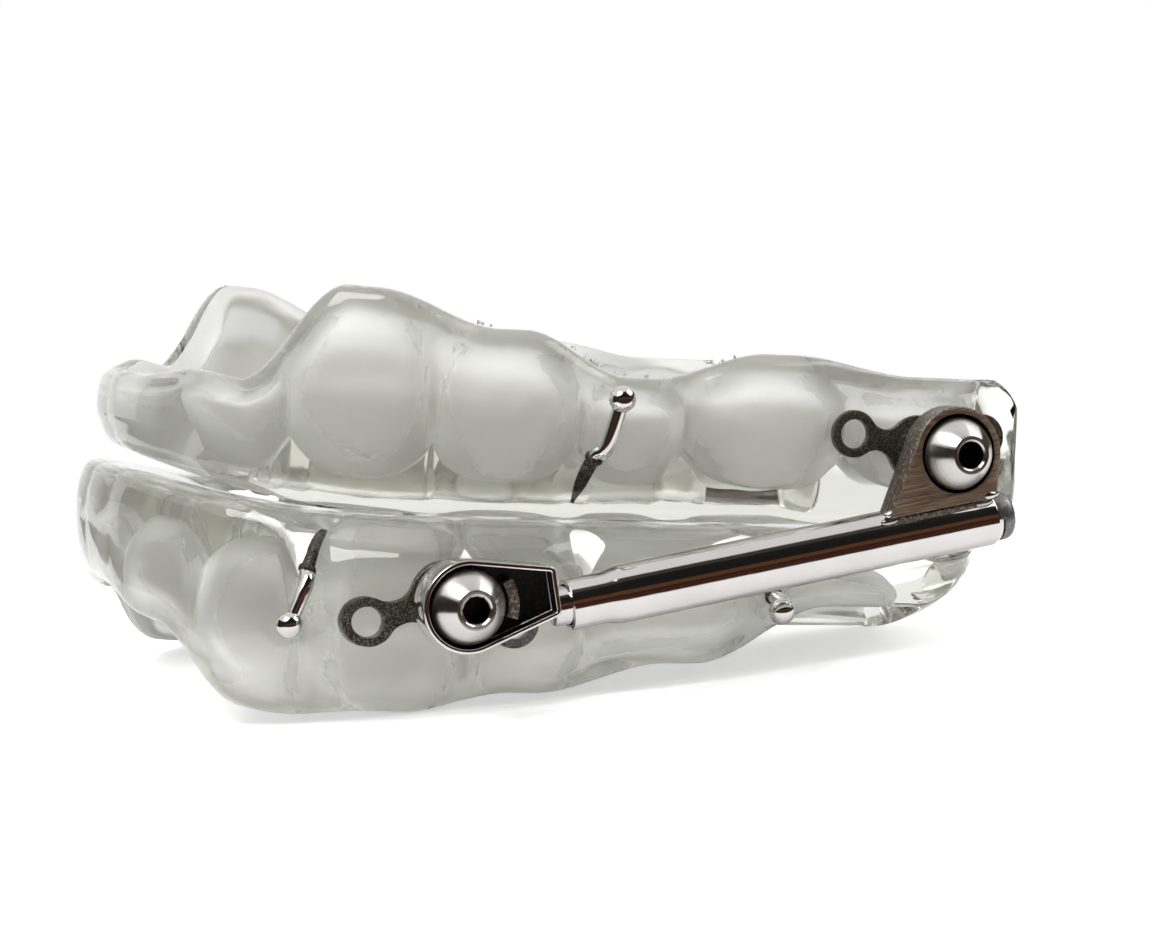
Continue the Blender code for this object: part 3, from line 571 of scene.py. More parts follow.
class Tray:
    """One moulded tray: a section with tooth imprints, carried along the dental arch."""

    def __init__(self, teeth, front, half_width, distal, up, pivot, bend):
        self.teeth = teeth
        self.up = up
        self.pivot = pivot
        self.pad_x = half_width - PAD_SET_IN + PAD_COVER
        self.bend = bend
        self.distal = distal
        self.front = front + teeth[0][HALF_DEPTH] + WALL
        self.half_width = half_width - teeth[-1][HALF_DEPTH] - WALL
        widths = [tooth[WIDTH] for tooth in teeth]
        self.bounds = [sum(widths[:i]) for i in range(len(widths) + 1)]
        self.centres = [(a + b) / 2 for a, b in zip(self.bounds, self.bounds[1:])]
        self.end = self.bounds[-1] + distal
        turn = np.linspace(0, math.pi / 2, ARCH_STEPS)
        x = self.half_width * np.sin(turn) ** (2 / ARCH_POWER)
        depth = ARCH_STRAIGHT - self.front
        y = ARCH_STRAIGHT - depth * np.cos(turn) ** (2 / ARCH_POWER)
        self.x = np.append(x, x[-1])
        self.y = np.append(y, y[-1] + self.end)
        steps = np.hypot(np.diff(self.x), np.diff(self.y))
        self.length = np.append(0, np.cumsum(steps))

    def centre(self, place):
        x = np.interp(abs(place), self.length, self.x) * math.copysign(1, place)
        return np.array((x, np.interp(abs(place), self.length, self.y)))

    def outward(self, place):
        along = self.centre(place + WALL / 2) - self.centre(place - WALL / 2)
        along /= np.linalg.norm(along)
        return np.array((along[1], -along[0]))

    def size(self, column, place):
        values = [tooth[column] for tooth in self.teeth]
        return eased(self.centres, values, abs(place))

    def in_tooth(self, place):
        """How far a place lies from the middle of its tooth: 0 there and 1 between teeth."""
        place = min(abs(place), self.bounds[-1])
        i = min(int(np.searchsorted(self.bounds, place, "right")) - 1, len(self.teeth) - 1)
        return min(abs(place - self.centres[i]) / (self.teeth[i][WIDTH] / 2), 1.0)

    def past_teeth(self, place):
        return max(0.0, abs(place) - self.bounds[-1]) / self.distal

    def outer(self, place):
        past = self.past_teeth(place)
        dip = 1 - OUTER_DIP * self.in_tooth(place) ** DIP_POWER
        depth = self.size(HALF_DEPTH, place) + WALL
        return depth * dip * math.sqrt(1 - (DISTAL_TAPER * past) ** 2)

    def oval(self, place, level):
        """The share of its depth that an imprint keeps, so that each tooth shows as an oval."""
        lean = (level - WIDEST_LEVEL) / (1 - WIDEST_LEVEL)
        narrowing = NECK_NARROWING if lean > 0 else EDGE_NARROWING
        width = OVAL_WIDTH - narrowing * abs(lean) ** OVAL_SPREAD
        reach = min(OVAL_END, self.in_tooth(place) / width)
        return 1 - EMBRASURE * (1 - (1 - reach**OVAL_POWER) ** (1 / OVAL_POWER))

    def half_section(self, place, margin):
        """Crest to bite along the outside, and crest to floor along the imprint."""
        out = self.outer(place)
        top = self.size(margin, place) * (1 - DISTAL_DROP * self.past_teeth(place) ** 2)
        top -= CREST_TRIM
        outside = [
            (out - MARGIN_LEAN - MARGIN_INSIDE / 2, top),
            (out - MARGIN_LEAN, top - MARGIN_ROUND),
            (out - MARGIN_LEAN / 4, LEAN_FROM * top),
            (out, BULGE_AT * top),
        ]
        outside += [(out - a * BITE_ROUND, b * BITE_ROUND) for a, b in BITE_CORNER]
        floor = BITE_THICKNESS + PAPILLA * self.in_tooth(place) ** PAPILLA_POWER
        half = self.size(HALF_DEPTH, place)
        low = half * self.size(FLOOR_SHARE, place)
        rise = top - MARGIN_ROUND - floor
        inside = [(out - MARGIN_LEAN - MARGIN_INSIDE, top - MARGIN_ROUND)]
        for level, reached, swell in reversed(IMPRINT_LEVELS):
            depth = low + reached * (half - low) + swell
            inside.append((depth * self.oval(place, level), floor + level * rise))
        return outside, inside

    def section(self, place):
        """The closed section as (outward, height), and the counts of its cheek and outside."""
        cheek_out, cheek_in = self.half_section(place, CHEEK)
        tongue_out, tongue_in = self.half_section(place, TONGUE)
        outside = cheek_out + [(-n, h) for n, h in reversed(tongue_out)]
        middle = (cheek_in[-1][1] + tongue_in[-1][1]) / 2 + self.size(FISSURE, place)
        inside = [(-n, h) for n, h in tongue_in] + [(0, middle)] + cheek_in[::-1]
        if self.past_teeth(place) > 0:
            inside = self.crown(outside[-1], outside[0], len(inside))
        return outside + inside, len(cheek_out), len(outside)

    def crown(self, tongue, cheek, count):
        """Points over a station behind the imprints, arched between its two crests."""
        points = []
        for i in range(1, count + 1):
            share = i / (count + 1)
            height = tongue[1] + (cheek[1] - tongue[1]) * share
            height += DISTAL_CROWN * math.sin(math.pi * share)
            points.append((tongue[0] + (cheek[0] - tongue[0]) * share, height))
        return points

    def bite_height(self, y):
        reach = -self.front - RISE_START
        return FRONT_RISE * max(0.0, (-y - RISE_START) / reach) ** 2

    def padded(self, x, y, z):
        """Draws the cheek side to the flat that covers the anchor plate."""
        along = y - self.pivot[0]
        face = self.pad_x - math.tan(self.bend) * max(0.0, -along - BEND_START)
        past = max(0.0, abs(along) - ARM_REACH - RING_RADIUS - PAD_MARGIN)
        over = max(0.0, abs(z - self.pivot[1]) - PAD_HALF_HEIGHT)
        share = max(0.0, 1 - math.hypot(past, over) / PAD_RUNOUT)
        share = share * share * (3 - 2 * share)
        share *= min(1.0, max(0.0, self.up * z - PAD_FADE[0]) / PAD_FADE[1])
        return x + share * (math.copysign(face, x) - x)

    def point(self, place, out, height, cheek):
        x, y = self.centre(place) + out * self.outward(place)
        z = self.bite_height(y) + self.up * (BITE_GAP / 2 + height)
        if cheek and self.past_teeth(place) < PAD_END:
            x = self.padded(x, y, z)
        return Vector((x, y, z))

    def on_cheek(self, place, height):
        """A point on the cheek side at a height, and the way out from it."""
        outs, heights = zip(*reversed(self.half_section(place, CHEEK)[0]))
        out = float(np.interp(height, heights, outs))
        return self.point(place, out, height, True), Vector((*self.outward(place), 0))

    def places(self):
        half = []
        for start, tooth in zip(self.bounds, self.teeth):
            half += [start + tooth[WIDTH] * i / TOOTH_STATIONS for i in range(TOOTH_STATIONS)]
        half.append(self.bounds[-1])
        for i in range(1, DISTAL_STATIONS + 1):
            half.append(self.bounds[-1] + self.distal * (i / DISTAL_STATIONS) ** DISTAL_SPREAD)
        return [-place for place in reversed(half[1:])] + half


def make_tray(name, tray, finishes):
    """The tray's fine mesh, with the faces of its imprints in the second finish."""
    shape = bmesh.new()
    loops = []
    places = tray.places()
    for place in places:
        points, cheek_count, outside_count = tray.section(place)
        ring = [tray.point(place, out, height, i < cheek_count)
                for i, (out, height) in enumerate(points)]
        ring = cut_corners(ring, CORNER_CUTS)
        loops.append([shape.verts.new(bite_frame() @ Vector(point)) for point in ring])
    for vert in shape.verts:
        vert.co.z = max(vert.co.z, 0.0)
    count = len(loops[0])
    first_inside = 2**CORNER_CUTS * outside_count
    for first, second, start, end in zip(loops, loops[1:], places, places[1:]):
        imprinted = min(abs(start), abs(end)) < tray.bounds[-1]
        for i in range(count):
            j = (i + 1) % count
            face = shape.faces.new((first[i], first[j], second[j], second[i]))
            inside = first_inside <= i < count - MARGIN_FACES
            face.material_index = 1 if imprinted and inside else 0
    shape.faces.new(loops[0])
    shape.faces.new(loops[-1])
    bmesh.ops.recalc_face_normals(shape, faces=shape.faces)
    mesh = bpy.data.meshes.new(name)
    shape.to_mesh(mesh)
    shape.free()
    mesh.shade_smooth()
    made = new_object(name, mesh)
    paint(made, *finishes)
    return made


# Screws and anchor plates


def make_screw(seat, tip, finishes):
    """A turned pivot screw: flat rim, bowed cone, countersunk hexagon socket and shank."""
    rim = seat + HEAD_RIM
    top = rim + HEAD_CONE
    screw = cylinder("screw", HEAD_RADIUS, seat, rim)
    edit(screw)
    pick_faces(screw, facing((1, 0, 0)))
    radius = HEAD_RADIUS
    for step in range(1, CONE_STEPS + 1):
        share = step / CONE_STEPS
        after = HEAD_RADIUS + (HEAD_TOP_RADIUS - HEAD_RADIUS) * share
        after += HEAD_BOW * math.sin(math.pi * share)
        pull(HEAD_CONE / CONE_STEPS, after / radius)
        radius = after
    sunk = SOCKET_RADIUS + SOCKET_CHAMFER
    bpy.ops.mesh.inset(thickness=HEAD_TOP_RADIUS - sunk)
    pull(-SOCKET_CHAMFER, SOCKET_RADIUS / sunk)
    pick_faces(screw, facing((-1, 0, 0)))
    bpy.ops.mesh.inset(thickness=HEAD_RADIUS - SHANK_RADIUS)
    pull(tip - seat)
    close()
    for radius, sides in ((SOCKET_RADIUS, 6), (SOCKET_ROUND, FINE)):
        socket = cylinder("socket", radius, top - SOCKET_DEPTH, top + HEAD_RIM, sides=sides)
        cut(screw, socket)
    soften(screw, SCREW_EDGE)
    paint(screw, *finishes)
    for face in screw.data.polygons:
        middle = face.center
        sunken = math.hypot(middle.y, middle.z) < SOCKET_RADIUS and middle.x < top - SOCKET_CHAMFER
        face.material_index = 1 if sunken and middle.x > seat else 0
    return screw


def neck_fillet(reach):
    """The radius that joins disc and ring and leaves the neck its width."""
    low, high = FILLET_RANGE
    for _ in range(FILLET_HALVINGS):
        radius = (low + high) / 2
        rise = (NECK_HALF_WIDTH + radius) ** 2
        to_disc = math.sqrt(max(0.0, (DISC_RADIUS + radius) ** 2 - rise))
        to_ring = math.sqrt(max(0.0, (RING_RADIUS + radius) ** 2 - rise))
        if to_disc + to_ring < reach:
            low = radius
        else:
            high = radius
    return radius, to_disc, to_ring


def dog_bone(offset, up):
    """The outline of an anchor plate, its arms set off from the pivot away from the bite."""
    reach = math.hypot(ARM_REACH, offset)
    fillet, to_disc, to_ring = neck_fillet(reach)
    rise = NECK_HALF_WIDTH + fillet
    disc_angle = math.atan2(rise, to_disc)
    ring_angle = math.atan2(rise, -to_ring)
    above = arc((to_disc, rise), fillet, disc_angle - math.pi, ring_angle - math.pi, FILLET_STEPS)
    ring = arc((reach, 0), RING_RADIUS, ring_angle, -ring_angle, RING_STEPS)
    below = [(y, -z) for y, z in reversed(above)]
    arm = above + ring[1:-1] + below
    slope = math.atan2(offset, ARM_REACH)
    points = []
    for turn, flip in ((slope, 1), (-slope, -1)):
        for y, z in arm:
            points.append((
                flip * (y * math.cos(turn) - z * math.sin(turn)),
                flip * (y * math.sin(turn) + z * math.cos(turn)),
            ))
        start = turn - disc_angle if flip > 0 else math.pi + turn - disc_angle
        end = -math.pi - slope + disc_angle if flip > 0 else slope + disc_angle
        points += arc((0, 0), DISC_RADIUS, start, end, DISC_STEPS)[1:-1]
    return [(y, up * z) for y, z in points]


def make_plate(face, boss_top, offset, up, bend, finishes):
    """A sintered dog-bone plate with a hole in each ring and a boss for the screw."""
    back = face - PLATE_THICKNESS
    plate = profile_plate("plate", dog_bone(offset, up), back, face)
    for side in (1, -1):
        hole = cylinder("ring_hole", RING_HOLE_RADIUS, back - PLATE_THICKNESS,
                        face + PLATE_THICKNESS, centre=(0, side * ARM_REACH, up * offset))
        cut(plate, hole)
    if bend:
        edit(plate)
        bpy.ops.mesh.select_all(action="SELECT")
        bpy.ops.mesh.bisect(plane_co=(0, -BEND_START, 0), plane_no=(0, 1, 0))
        close()
        for vert in plate.data.vertices:
            vert.co.x -= math.tan(bend) * max(0.0, -vert.co.y - BEND_START)
    boss = cylinder("boss", BOSS_RADIUS, face - PLATE_THICKNESS / 2, boss_top)
    cut(plate, boss, "UNION")
    soften(plate, PLATE_EDGE)
    paint(plate, *finishes)
    # The plate's edges and sides take the lighter edge finish, a painted highlight; its flat faces
    # keep the sintered steel.
    for polygon in plate.data.polygons:
        polygon.material_index = 0 if polygon.normal.x > FLAT_FACE else 1
    return plate


# Telescopes


def make_rod(finishes):
    """The thin-walled cup lug on the lower pivot, the ridge in it and the rod behind it."""
    inner = LOWER_LUG_INNER
    outer = inner + LOWER_LUG_THICKNESS
    floor = inner + LOWER_LUG_FLOOR
    cup = HEAD_RADIUS + HEAD_CLEARANCE
    far = LOWER_LUG_REACH - LUG_CORNER
    corners = circle((far, LOWER_LUG_ABOVE - LUG_CORNER), LUG_CORNER, LUG_CORNER_STEPS)
    corners += circle((far, LUG_CORNER - LOWER_LUG_BELOW), LUG_CORNER, LUG_CORNER_STEPS)
    lug = profile_plate("lug", hull(circle((0, 0), cup + LUG_WALL) + corners), inner, outer)
    edit(lug)
    pick_faces(lug, facing((1, 0, 0)))
    bpy.ops.mesh.inset(thickness=LUG_WALL)
    pull(floor - outer)
    close()
    soften(lug, CUP_EDGE)
    ridge_reach = cup + RIDGE_WIDTH
    above = math.asin((LOWER_LUG_ABOVE - LUG_WALL) / ridge_reach)
    below = math.asin((LOWER_LUG_BELOW - LUG_WALL) / ridge_reach)
    crescent = arc((0, 0), ridge_reach, above, -below, RIDGE_STEPS)
    crescent += arc((0, 0), cup, -below, above, RIDGE_STEPS)
    ridge = profile_plate("ridge", crescent, floor, outer - RIDGE_DROP)
    soften(ridge, RIDGE_EDGE)
    rod = cylinder("rod", ROD_RADIUS, LOWER_LUG_REACH - LUG_WALL, ROD_END, "Y",
                   (TELESCOPE_X, 0, -LOWER_DROP))
    soften(rod, ROD_EDGE)
    # The ridge takes the lighter edge finish, a painted highlight over its pitted grain; the cup's
    # floor takes painted shade.
    polished, pitted_highlight, shadowed = finishes
    paint(lug, polished, shadowed)
    paint(ridge, pitted_highlight)
    paint(rod, polished)
    for face in lug.data.polygons:
        if face.normal.x > FLAT_FACE and face.center.x < outer - LUG_WALL:
            face.material_index = 1
    return join("rod", lug, ridge, rod)


def make_tube(finishes):
    """The drawn tube with its narrower nose and bore, and the lug welded on its rear."""
    tube = cylinder("tube", TUBE_RADIUS, 0, TUBE_LENGTH, "Y", (TELESCOPE_X, 0, 0))
    edit(tube)
    for y in (TUBE_NOSE_LENGTH, TUBE_NOSE_LENGTH + TUBE_NOSE_TAPER / 2,
              TUBE_NOSE_LENGTH + TUBE_NOSE_TAPER, TUBE_LENGTH - TUBE_SHOULDER):
        bpy.ops.mesh.select_all(action="SELECT")
        bpy.ops.mesh.bisect(plane_co=(0, y, 0), plane_no=(0, 1, 0))
    close()
    for vert in tube.data.vertices:
        radius = 1.0
        if vert.co.y < TUBE_NOSE_LENGTH + TUBE_NOSE_TAPER / 4:
            radius = TUBE_NOSE_RADIUS / TUBE_RADIUS
        elif vert.co.y < TUBE_NOSE_LENGTH + 3 * TUBE_NOSE_TAPER / 4:
            radius = (TUBE_NOSE_RADIUS + 2 * TUBE_RADIUS) / (3 * TUBE_RADIUS)
        elif vert.co.y > TUBE_LENGTH - TUBE_SHOULDER / 2:
            radius = 1 - TUBE_SHOULDER / 2 / TUBE_RADIUS
        vert.co.x = TELESCOPE_X + (vert.co.x - TELESCOPE_X) * radius
        vert.co.z *= radius
    bore = cylinder("bore", BORE, -LUG_WALL, TUBE_LENGTH + LUG_WALL, "Y", (TELESCOPE_X, 0, 0))
    cut(tube, bore)
    cut(tube, upper_step(TUBE_LENGTH - PLUG_STEP, TUBE_LENGTH + PLUG_LENGTH))
    soften(tube, TUBE_EDGE, limit=NOSE_ANGLE)

    hub = (UPPER_FOOT - TUBE_START, UPPER_DROP)
    inner = UPPER_LUG_INNER
    outer = inner + UPPER_LUG_THICKNESS
    foot = (TUBE_RADIUS + ROD_RADIUS) / 2
    rear = TUBE_LENGTH - TUBE_SHOULDER
    feet = [(hub[0] - UPPER_LUG_FOOT_FRONT, foot), (rear, foot)]
    lug = profile_plate("lug", hull(circle(hub, UPPER_LUG_RADIUS) + feet), inner, outer)
    cup = HEAD_RADIUS + HEAD_CLEARANCE
    cut(lug, cylinder("cup", cup, inner + UPPER_LUG_FLOOR, outer + LUG_WALL, centre=(0, *hub)))
    soften(lug, LUG_EDGE)
    polished, brushed, shadowed, edge = finishes
    paint(tube, polished)
    paint(lug, edge, brushed, shadowed)
    # The lug's sides take the lighter edge finish, a painted highlight, and the faces round its cup
    # take painted shade.
    for face in lug.data.polygons:
        to_hub = math.hypot(face.center.y - hub[0], face.center.z - hub[1])
        if to_hub < cup + NEAR_EDGE and face.center.x < outer - NEAR_EDGE:
            face.material_index = 2
        else:
            face.material_index = 1 if face.normal.x > LUG_FACE else 0
    beads = []
    ends = (hub[0] - UPPER_LUG_FOOT_FRONT + WELD_RADIUS, rear - WELD_RADIUS)
    for y, size in zip(ends, WELD_SIZES):
        select_nothing()
        bpy.ops.mesh.primitive_uv_sphere_add(
            segments=WELD_SIDES, ring_count=WELD_SIDES // 2, radius=WELD_RADIUS * size,
            location=(outer - WELD_RADIUS, y, foot + WELD_RADIUS / 2), scale=WELD_SHAPE,
        )
        bpy.ops.object.transform_apply()
        bpy.ops.object.shade_smooth()
        bead = bpy.context.object
        paint(bead, polished)
        beads.append(bead)
    return join("tube", tube, lug, *beads)


def upper_step(start, end):
    """A block over the upper half of the tube's end."""
    reach = 2 * TUBE_RADIUS
    select_nothing()
    bpy.ops.mesh.primitive_cube_add(
        size=1, scale=(2 * reach, end - start, reach),
        location=(TELESCOPE_X, (start + end) / 2, reach / 2),
    )
    bpy.ops.object.transform_apply()
    return bpy.context.object


def make_plug(finish):
    """The end plug: a spigot in the bore and a rounded cap that meets the tube in a step."""
    cap = TUBE_RADIUS - TUBE_SHOULDER / 2
    plug = cylinder("plug", cap, PLUG_GAP, PLUG_LENGTH, "Y", (TELESCOPE_X, 0, 0))
    front = facing((0, -1, 0))
    edit(plug)
    pick_faces(plug, front)
    bpy.ops.mesh.bisect(plane_co=(0, 0, 0), plane_no=(0, 0, 1), threshold=SNAP)
    pick_faces(plug, lambda face: front(face) and face.calc_center_median().z > 0)
    bpy.ops.mesh.extrude_region_move(TRANSFORM_OT_translate={"value": (0, -PLUG_STEP, 0)})
    close()
    rounding = plug.modifiers.new("cap_round", "BEVEL")
    rounding.width = PLUG_ROUND
    rounding.segments = PLUG_ROUND_STEPS
    rounding.limit_method = "WEIGHT"
    weights = plug.data.attributes.new("bevel_weight_edge", "FLOAT", "EDGE")
    for edge in plug.data.edges:
        ends = [plug.data.vertices[i].co.y for i in edge.vertices]
        weights.data[edge.index].value = 1.0 if min(ends) > PLUG_LENGTH - PLUG_GAP else 0.0
    bpy.ops.object.modifier_apply(modifier=rounding.name)
    spigot = cylinder("spigot", BORE - PLUG_GAP / 2, -PLUG_SPIGOT, PLUG_LENGTH / 2, "Y",
                      (TELESCOPE_X, 0, 0))
    for piece in (plug, spigot):
        soften(piece, PLUG_EDGE)
        paint(piece, finish)
    return join("plug", plug, spigot)


# Ball hooks


def hook_route(tray, gap, shift, height, rise, lean, hang):
    """The route of a ball hook: from inside the plastic, out of its side, to the ball."""
    mouth, out = tray.on_cheek(tray.bounds[gap] + shift, height)
    back = Vector((-out.y, out.x, 0))
    away = Vector((0, 0, tray.up))
    start = mouth - EMBED_LENGTH * (out * EMBED_SET_IN + away * hang - back * lean)
    along = (mouth - start).normalized()
    ball = mouth + out * BALL_STAND_OFF + away * rise - back * lean * rise
    swing = back * HOOK_SWING
    return [start, mouth, mouth + along * MOUTH_LENGTH + out * HOOK_BOW + swing, ball]


def smooth_line(points):
    """A smooth line through points, from Catmull-Rom pieces."""
    line = []
    padded = [points[0], *points, points[-1]]
    for a, b, c, d in zip(padded, padded[1:], padded[2:], padded[3:]):
        for i in range(WIRE_STEPS):
            t = i / WIRE_STEPS
            line.append(0.5 * (2 * b + (c - a) * t + (2 * a - 5 * b + 4 * c - d) * t * t
                               + (3 * b - a - 3 * c + d) * t**3))
    return line + [points[-1]]


def make_hook(route, finishes):
    """A ball-ended wire with a collar where it leaves the plastic; the wire's part in the plastic
    and the collar take the second finish, a dark steel that is painted shade.
    """
    polished, buried = finishes
    line = smooth_line(route)
    curve = bpy.data.curves.new("wire", "CURVE")
    curve.dimensions = "3D"
    curve.bevel_depth = WIRE_RADIUS
    curve.bevel_resolution = WIRE_ROUND
    curve.use_fill_caps = True
    start, mouth = route[0], route[1]
    along = (mouth - start).normalized()
    spline = curve.splines.new("POLY")
    spline.points.add(len(line) - 1)
    for place, point in zip(spline.points, line):
        place.co = (*point, 1)
        depth = max(0.0, (mouth - point).dot(along)) / EMBED_LENGTH
        place.radius = 1 - EMBED_TAPER * min(1.0, depth) ** EMBED_TAPER_POWER
    only(new_object("wire", curve))
    bpy.ops.object.convert(target="MESH")
    shaft = bpy.context.object
    paint(shaft, polished, buried)
    ball = route[-1]
    # Faces inside the plastic take the dark second finish, painted shade.
    for face in shaft.data.polygons:
        face.material_index = 1 if (face.center - mouth).dot(along) < 0 else 0
    select_nothing()
    bpy.ops.mesh.primitive_uv_sphere_add(
        segments=BALL_SIDES, ring_count=BALL_SIDES // 2, radius=BALL_RADIUS, location=ball
    )
    knob = bpy.context.object
    paint(knob, polished)
    select_nothing()
    bpy.ops.mesh.primitive_cylinder_add(
        vertices=BALL_SIDES, radius=COLLAR_RADIUS, depth=COLLAR_LENGTH, location=mouth,
        rotation=along.to_track_quat("Z", "Y").to_euler(),
    )
    collar = bpy.context.object
    # The collar is a dark ring of painted shade where the wire leaves the plastic.
    paint(collar, buried)
    soften(collar, COLLAR_EDGE)
    for piece in (shaft, knob, collar):
        only(piece)
        bpy.ops.object.transform_apply()
        bpy.ops.object.shade_smooth_by_angle(angle=SMOOTH_ANGLE)
    return join("hook", shaft, knob, collar)


def make_trim_flakes(tray, finish):
    """Small rough flakes that the trimming of the upper margin left behind."""
    random = np.random.default_rng(FLAKE_SEED)
    flakes = []
    for place, count in TRIM_FLAKES:
        for _ in range(count):
            at = place + random.uniform(-FLAKE_SPREAD, FLAKE_SPREAD)
            inward = random.uniform(*FLAKE_ACROSS) * MARGIN_THICKNESS
            out = tray.outer(at) - MARGIN_LEAN - inward
            top = tray.size(CHEEK, at)
            select_nothing()
            bpy.ops.mesh.primitive_cone_add(
                vertices=FLAKE_SIDES, radius1=FLAKE_SIZE * random.uniform(*FLAKE_WIDTHS), radius2=0,
                depth=FLAKE_SIZE * random.uniform(*FLAKE_LENGTHS),
                location=bite_frame() @ tray.point(at, out, top - FLAKE_SIZE, False),
                rotation=random.uniform(-FLAKE_TURN, FLAKE_TURN, 3),
            )
            bpy.ops.object.transform_apply()
            flakes.append(bpy.context.object)
    made = join("trim_flakes", *flakes)
    paint(made, finish)
    return made


# Finishes


def node(tree, kind, **settings):
    """A node with its settings; a setting named after a socket sets that socket."""
    made = tree.nodes.new("ShaderNode" + kind)
    for key, value in settings.items():
        if hasattr(made, key):
            setattr(made, key, value)
        else:
            made.inputs[key.replace("_", " ").title()].default_value = value
    return made


def cleared(owner, output):
    """The emptied node tree of a material or a world, with an output node in it."""
    owner.use_nodes = True
    owner.node_tree.nodes.clear()
    return owner.node_tree, node(owner.node_tree, output)


def wire(tree, *links):
    """Links sockets, each as (giving node, its socket, taking node, its socket)."""
    for giving, out, taking, into in links:
        tree.links.new(giving.outputs[out], taking.inputs[into])


def new_group(name, inputs, outputs):
    """An empty node group with a vector, named numbers, and named outputs."""
    group = bpy.data.node_groups.new(name, "ShaderNodeTree")
    new_socket = group.interface.new_socket
    new_socket("Vector", in_out="INPUT", socket_type="NodeSocketVector")
    for label, value in inputs.items():
        new_socket(label, in_out="INPUT", socket_type="NodeSocketFloat").default_value = value
    for label in outputs:
        new_socket(label, in_out="OUTPUT", socket_type="NodeSocketFloat")
    return group, group.nodes.new("NodeGroupInput"), group.nodes.new("NodeGroupOutput")


def make_grain():
    """Fine grain: a mask of pits, and a value that drifts slowly over the surface."""
    group, given, out = new_group(
        "fine_grain",
        {"Pit Scale": 4000.0, "Drift Scale": 250.0, "Pit Share": 0.5},
        ("Pits", "Drift", "Height"),
    )
    fine = node(group, "TexNoise", detail=3.0, roughness=0.65)
    slow = node(group, "TexNoise", detail=2.0)
    cells = node(group, "TexVoronoi", feature="F1")
    ramp = node(group, "MapRange", interpolation_type="SMOOTHSTEP")
    spread = node(group, "Math", operation="ADD")
    spread.inputs[1].default_value = PIT_EDGE
    height = node(group, "Math", operation="MULTIPLY")
    wire(
        group,
        (given, "Vector", fine, "Vector"),
        (given, "Vector", slow, "Vector"),
        (given, "Vector", cells, "Vector"),
        (given, "Pit Scale", fine, "Scale"),
        (given, "Pit Scale", cells, "Scale"),
        (given, "Drift Scale", slow, "Scale"),
        (fine, "Fac", ramp, "Value"),
        (given, "Pit Share", ramp, "From Min"),
        (given, "Pit Share", spread, 0),
        (spread, 0, ramp, "From Max"),
        (ramp, "Result", out, "Pits"),
        (slow, "Fac", out, "Drift"),
        (fine, "Fac", height, 0),
        (cells, "Distance", height, 1),
        (height, 0, out, "Height"),
    )
    return group


def make_lines():
    """Lines left by turning or brushing, along rings round X or straight along one axis."""
    group, given, out = new_group(
        "tool_lines", {"Pitch Scale": 8000.0, "Break Scale": 600.0}, ("Rings", "Strokes")
    )
    split = node(group, "SeparateXYZ")
    square_y = node(group, "Math", operation="MULTIPLY")
    square_z = node(group, "Math", operation="MULTIPLY")
    total = node(group, "Math", operation="ADD")
    radius = node(group, "Math", operation="SQRT")
    rings = node(group, "TexNoise", noise_dimensions="1D", detail=2.0)
    stretch = node(group, "Mapping", Scale=(1.0, STROKE_STRETCH, 1.0))
    strokes = node(group, "TexNoise", detail=4.0, roughness=0.6)
    wire(
        group,
        (given, "Vector", split, 0),
        (split, "Y", square_y, 0),
        (split, "Y", square_y, 1),
        (split, "Z", square_z, 0),
        (split, "Z", square_z, 1),
        (square_y, 0, total, 0),
        (square_z, 0, total, 1),
        (total, 0, radius, 0),
        (radius, 0, rings, "W"),
        (given, "Pitch Scale", rings, "Scale"),
        (given, "Vector", stretch, "Vector"),
        (stretch, 0, strokes, "Vector"),
        (given, "Break Scale", strokes, "Scale"),
        (rings, "Fac", out, "Rings"),
        (strokes, "Fac", out, "Strokes"),
    )
    return group


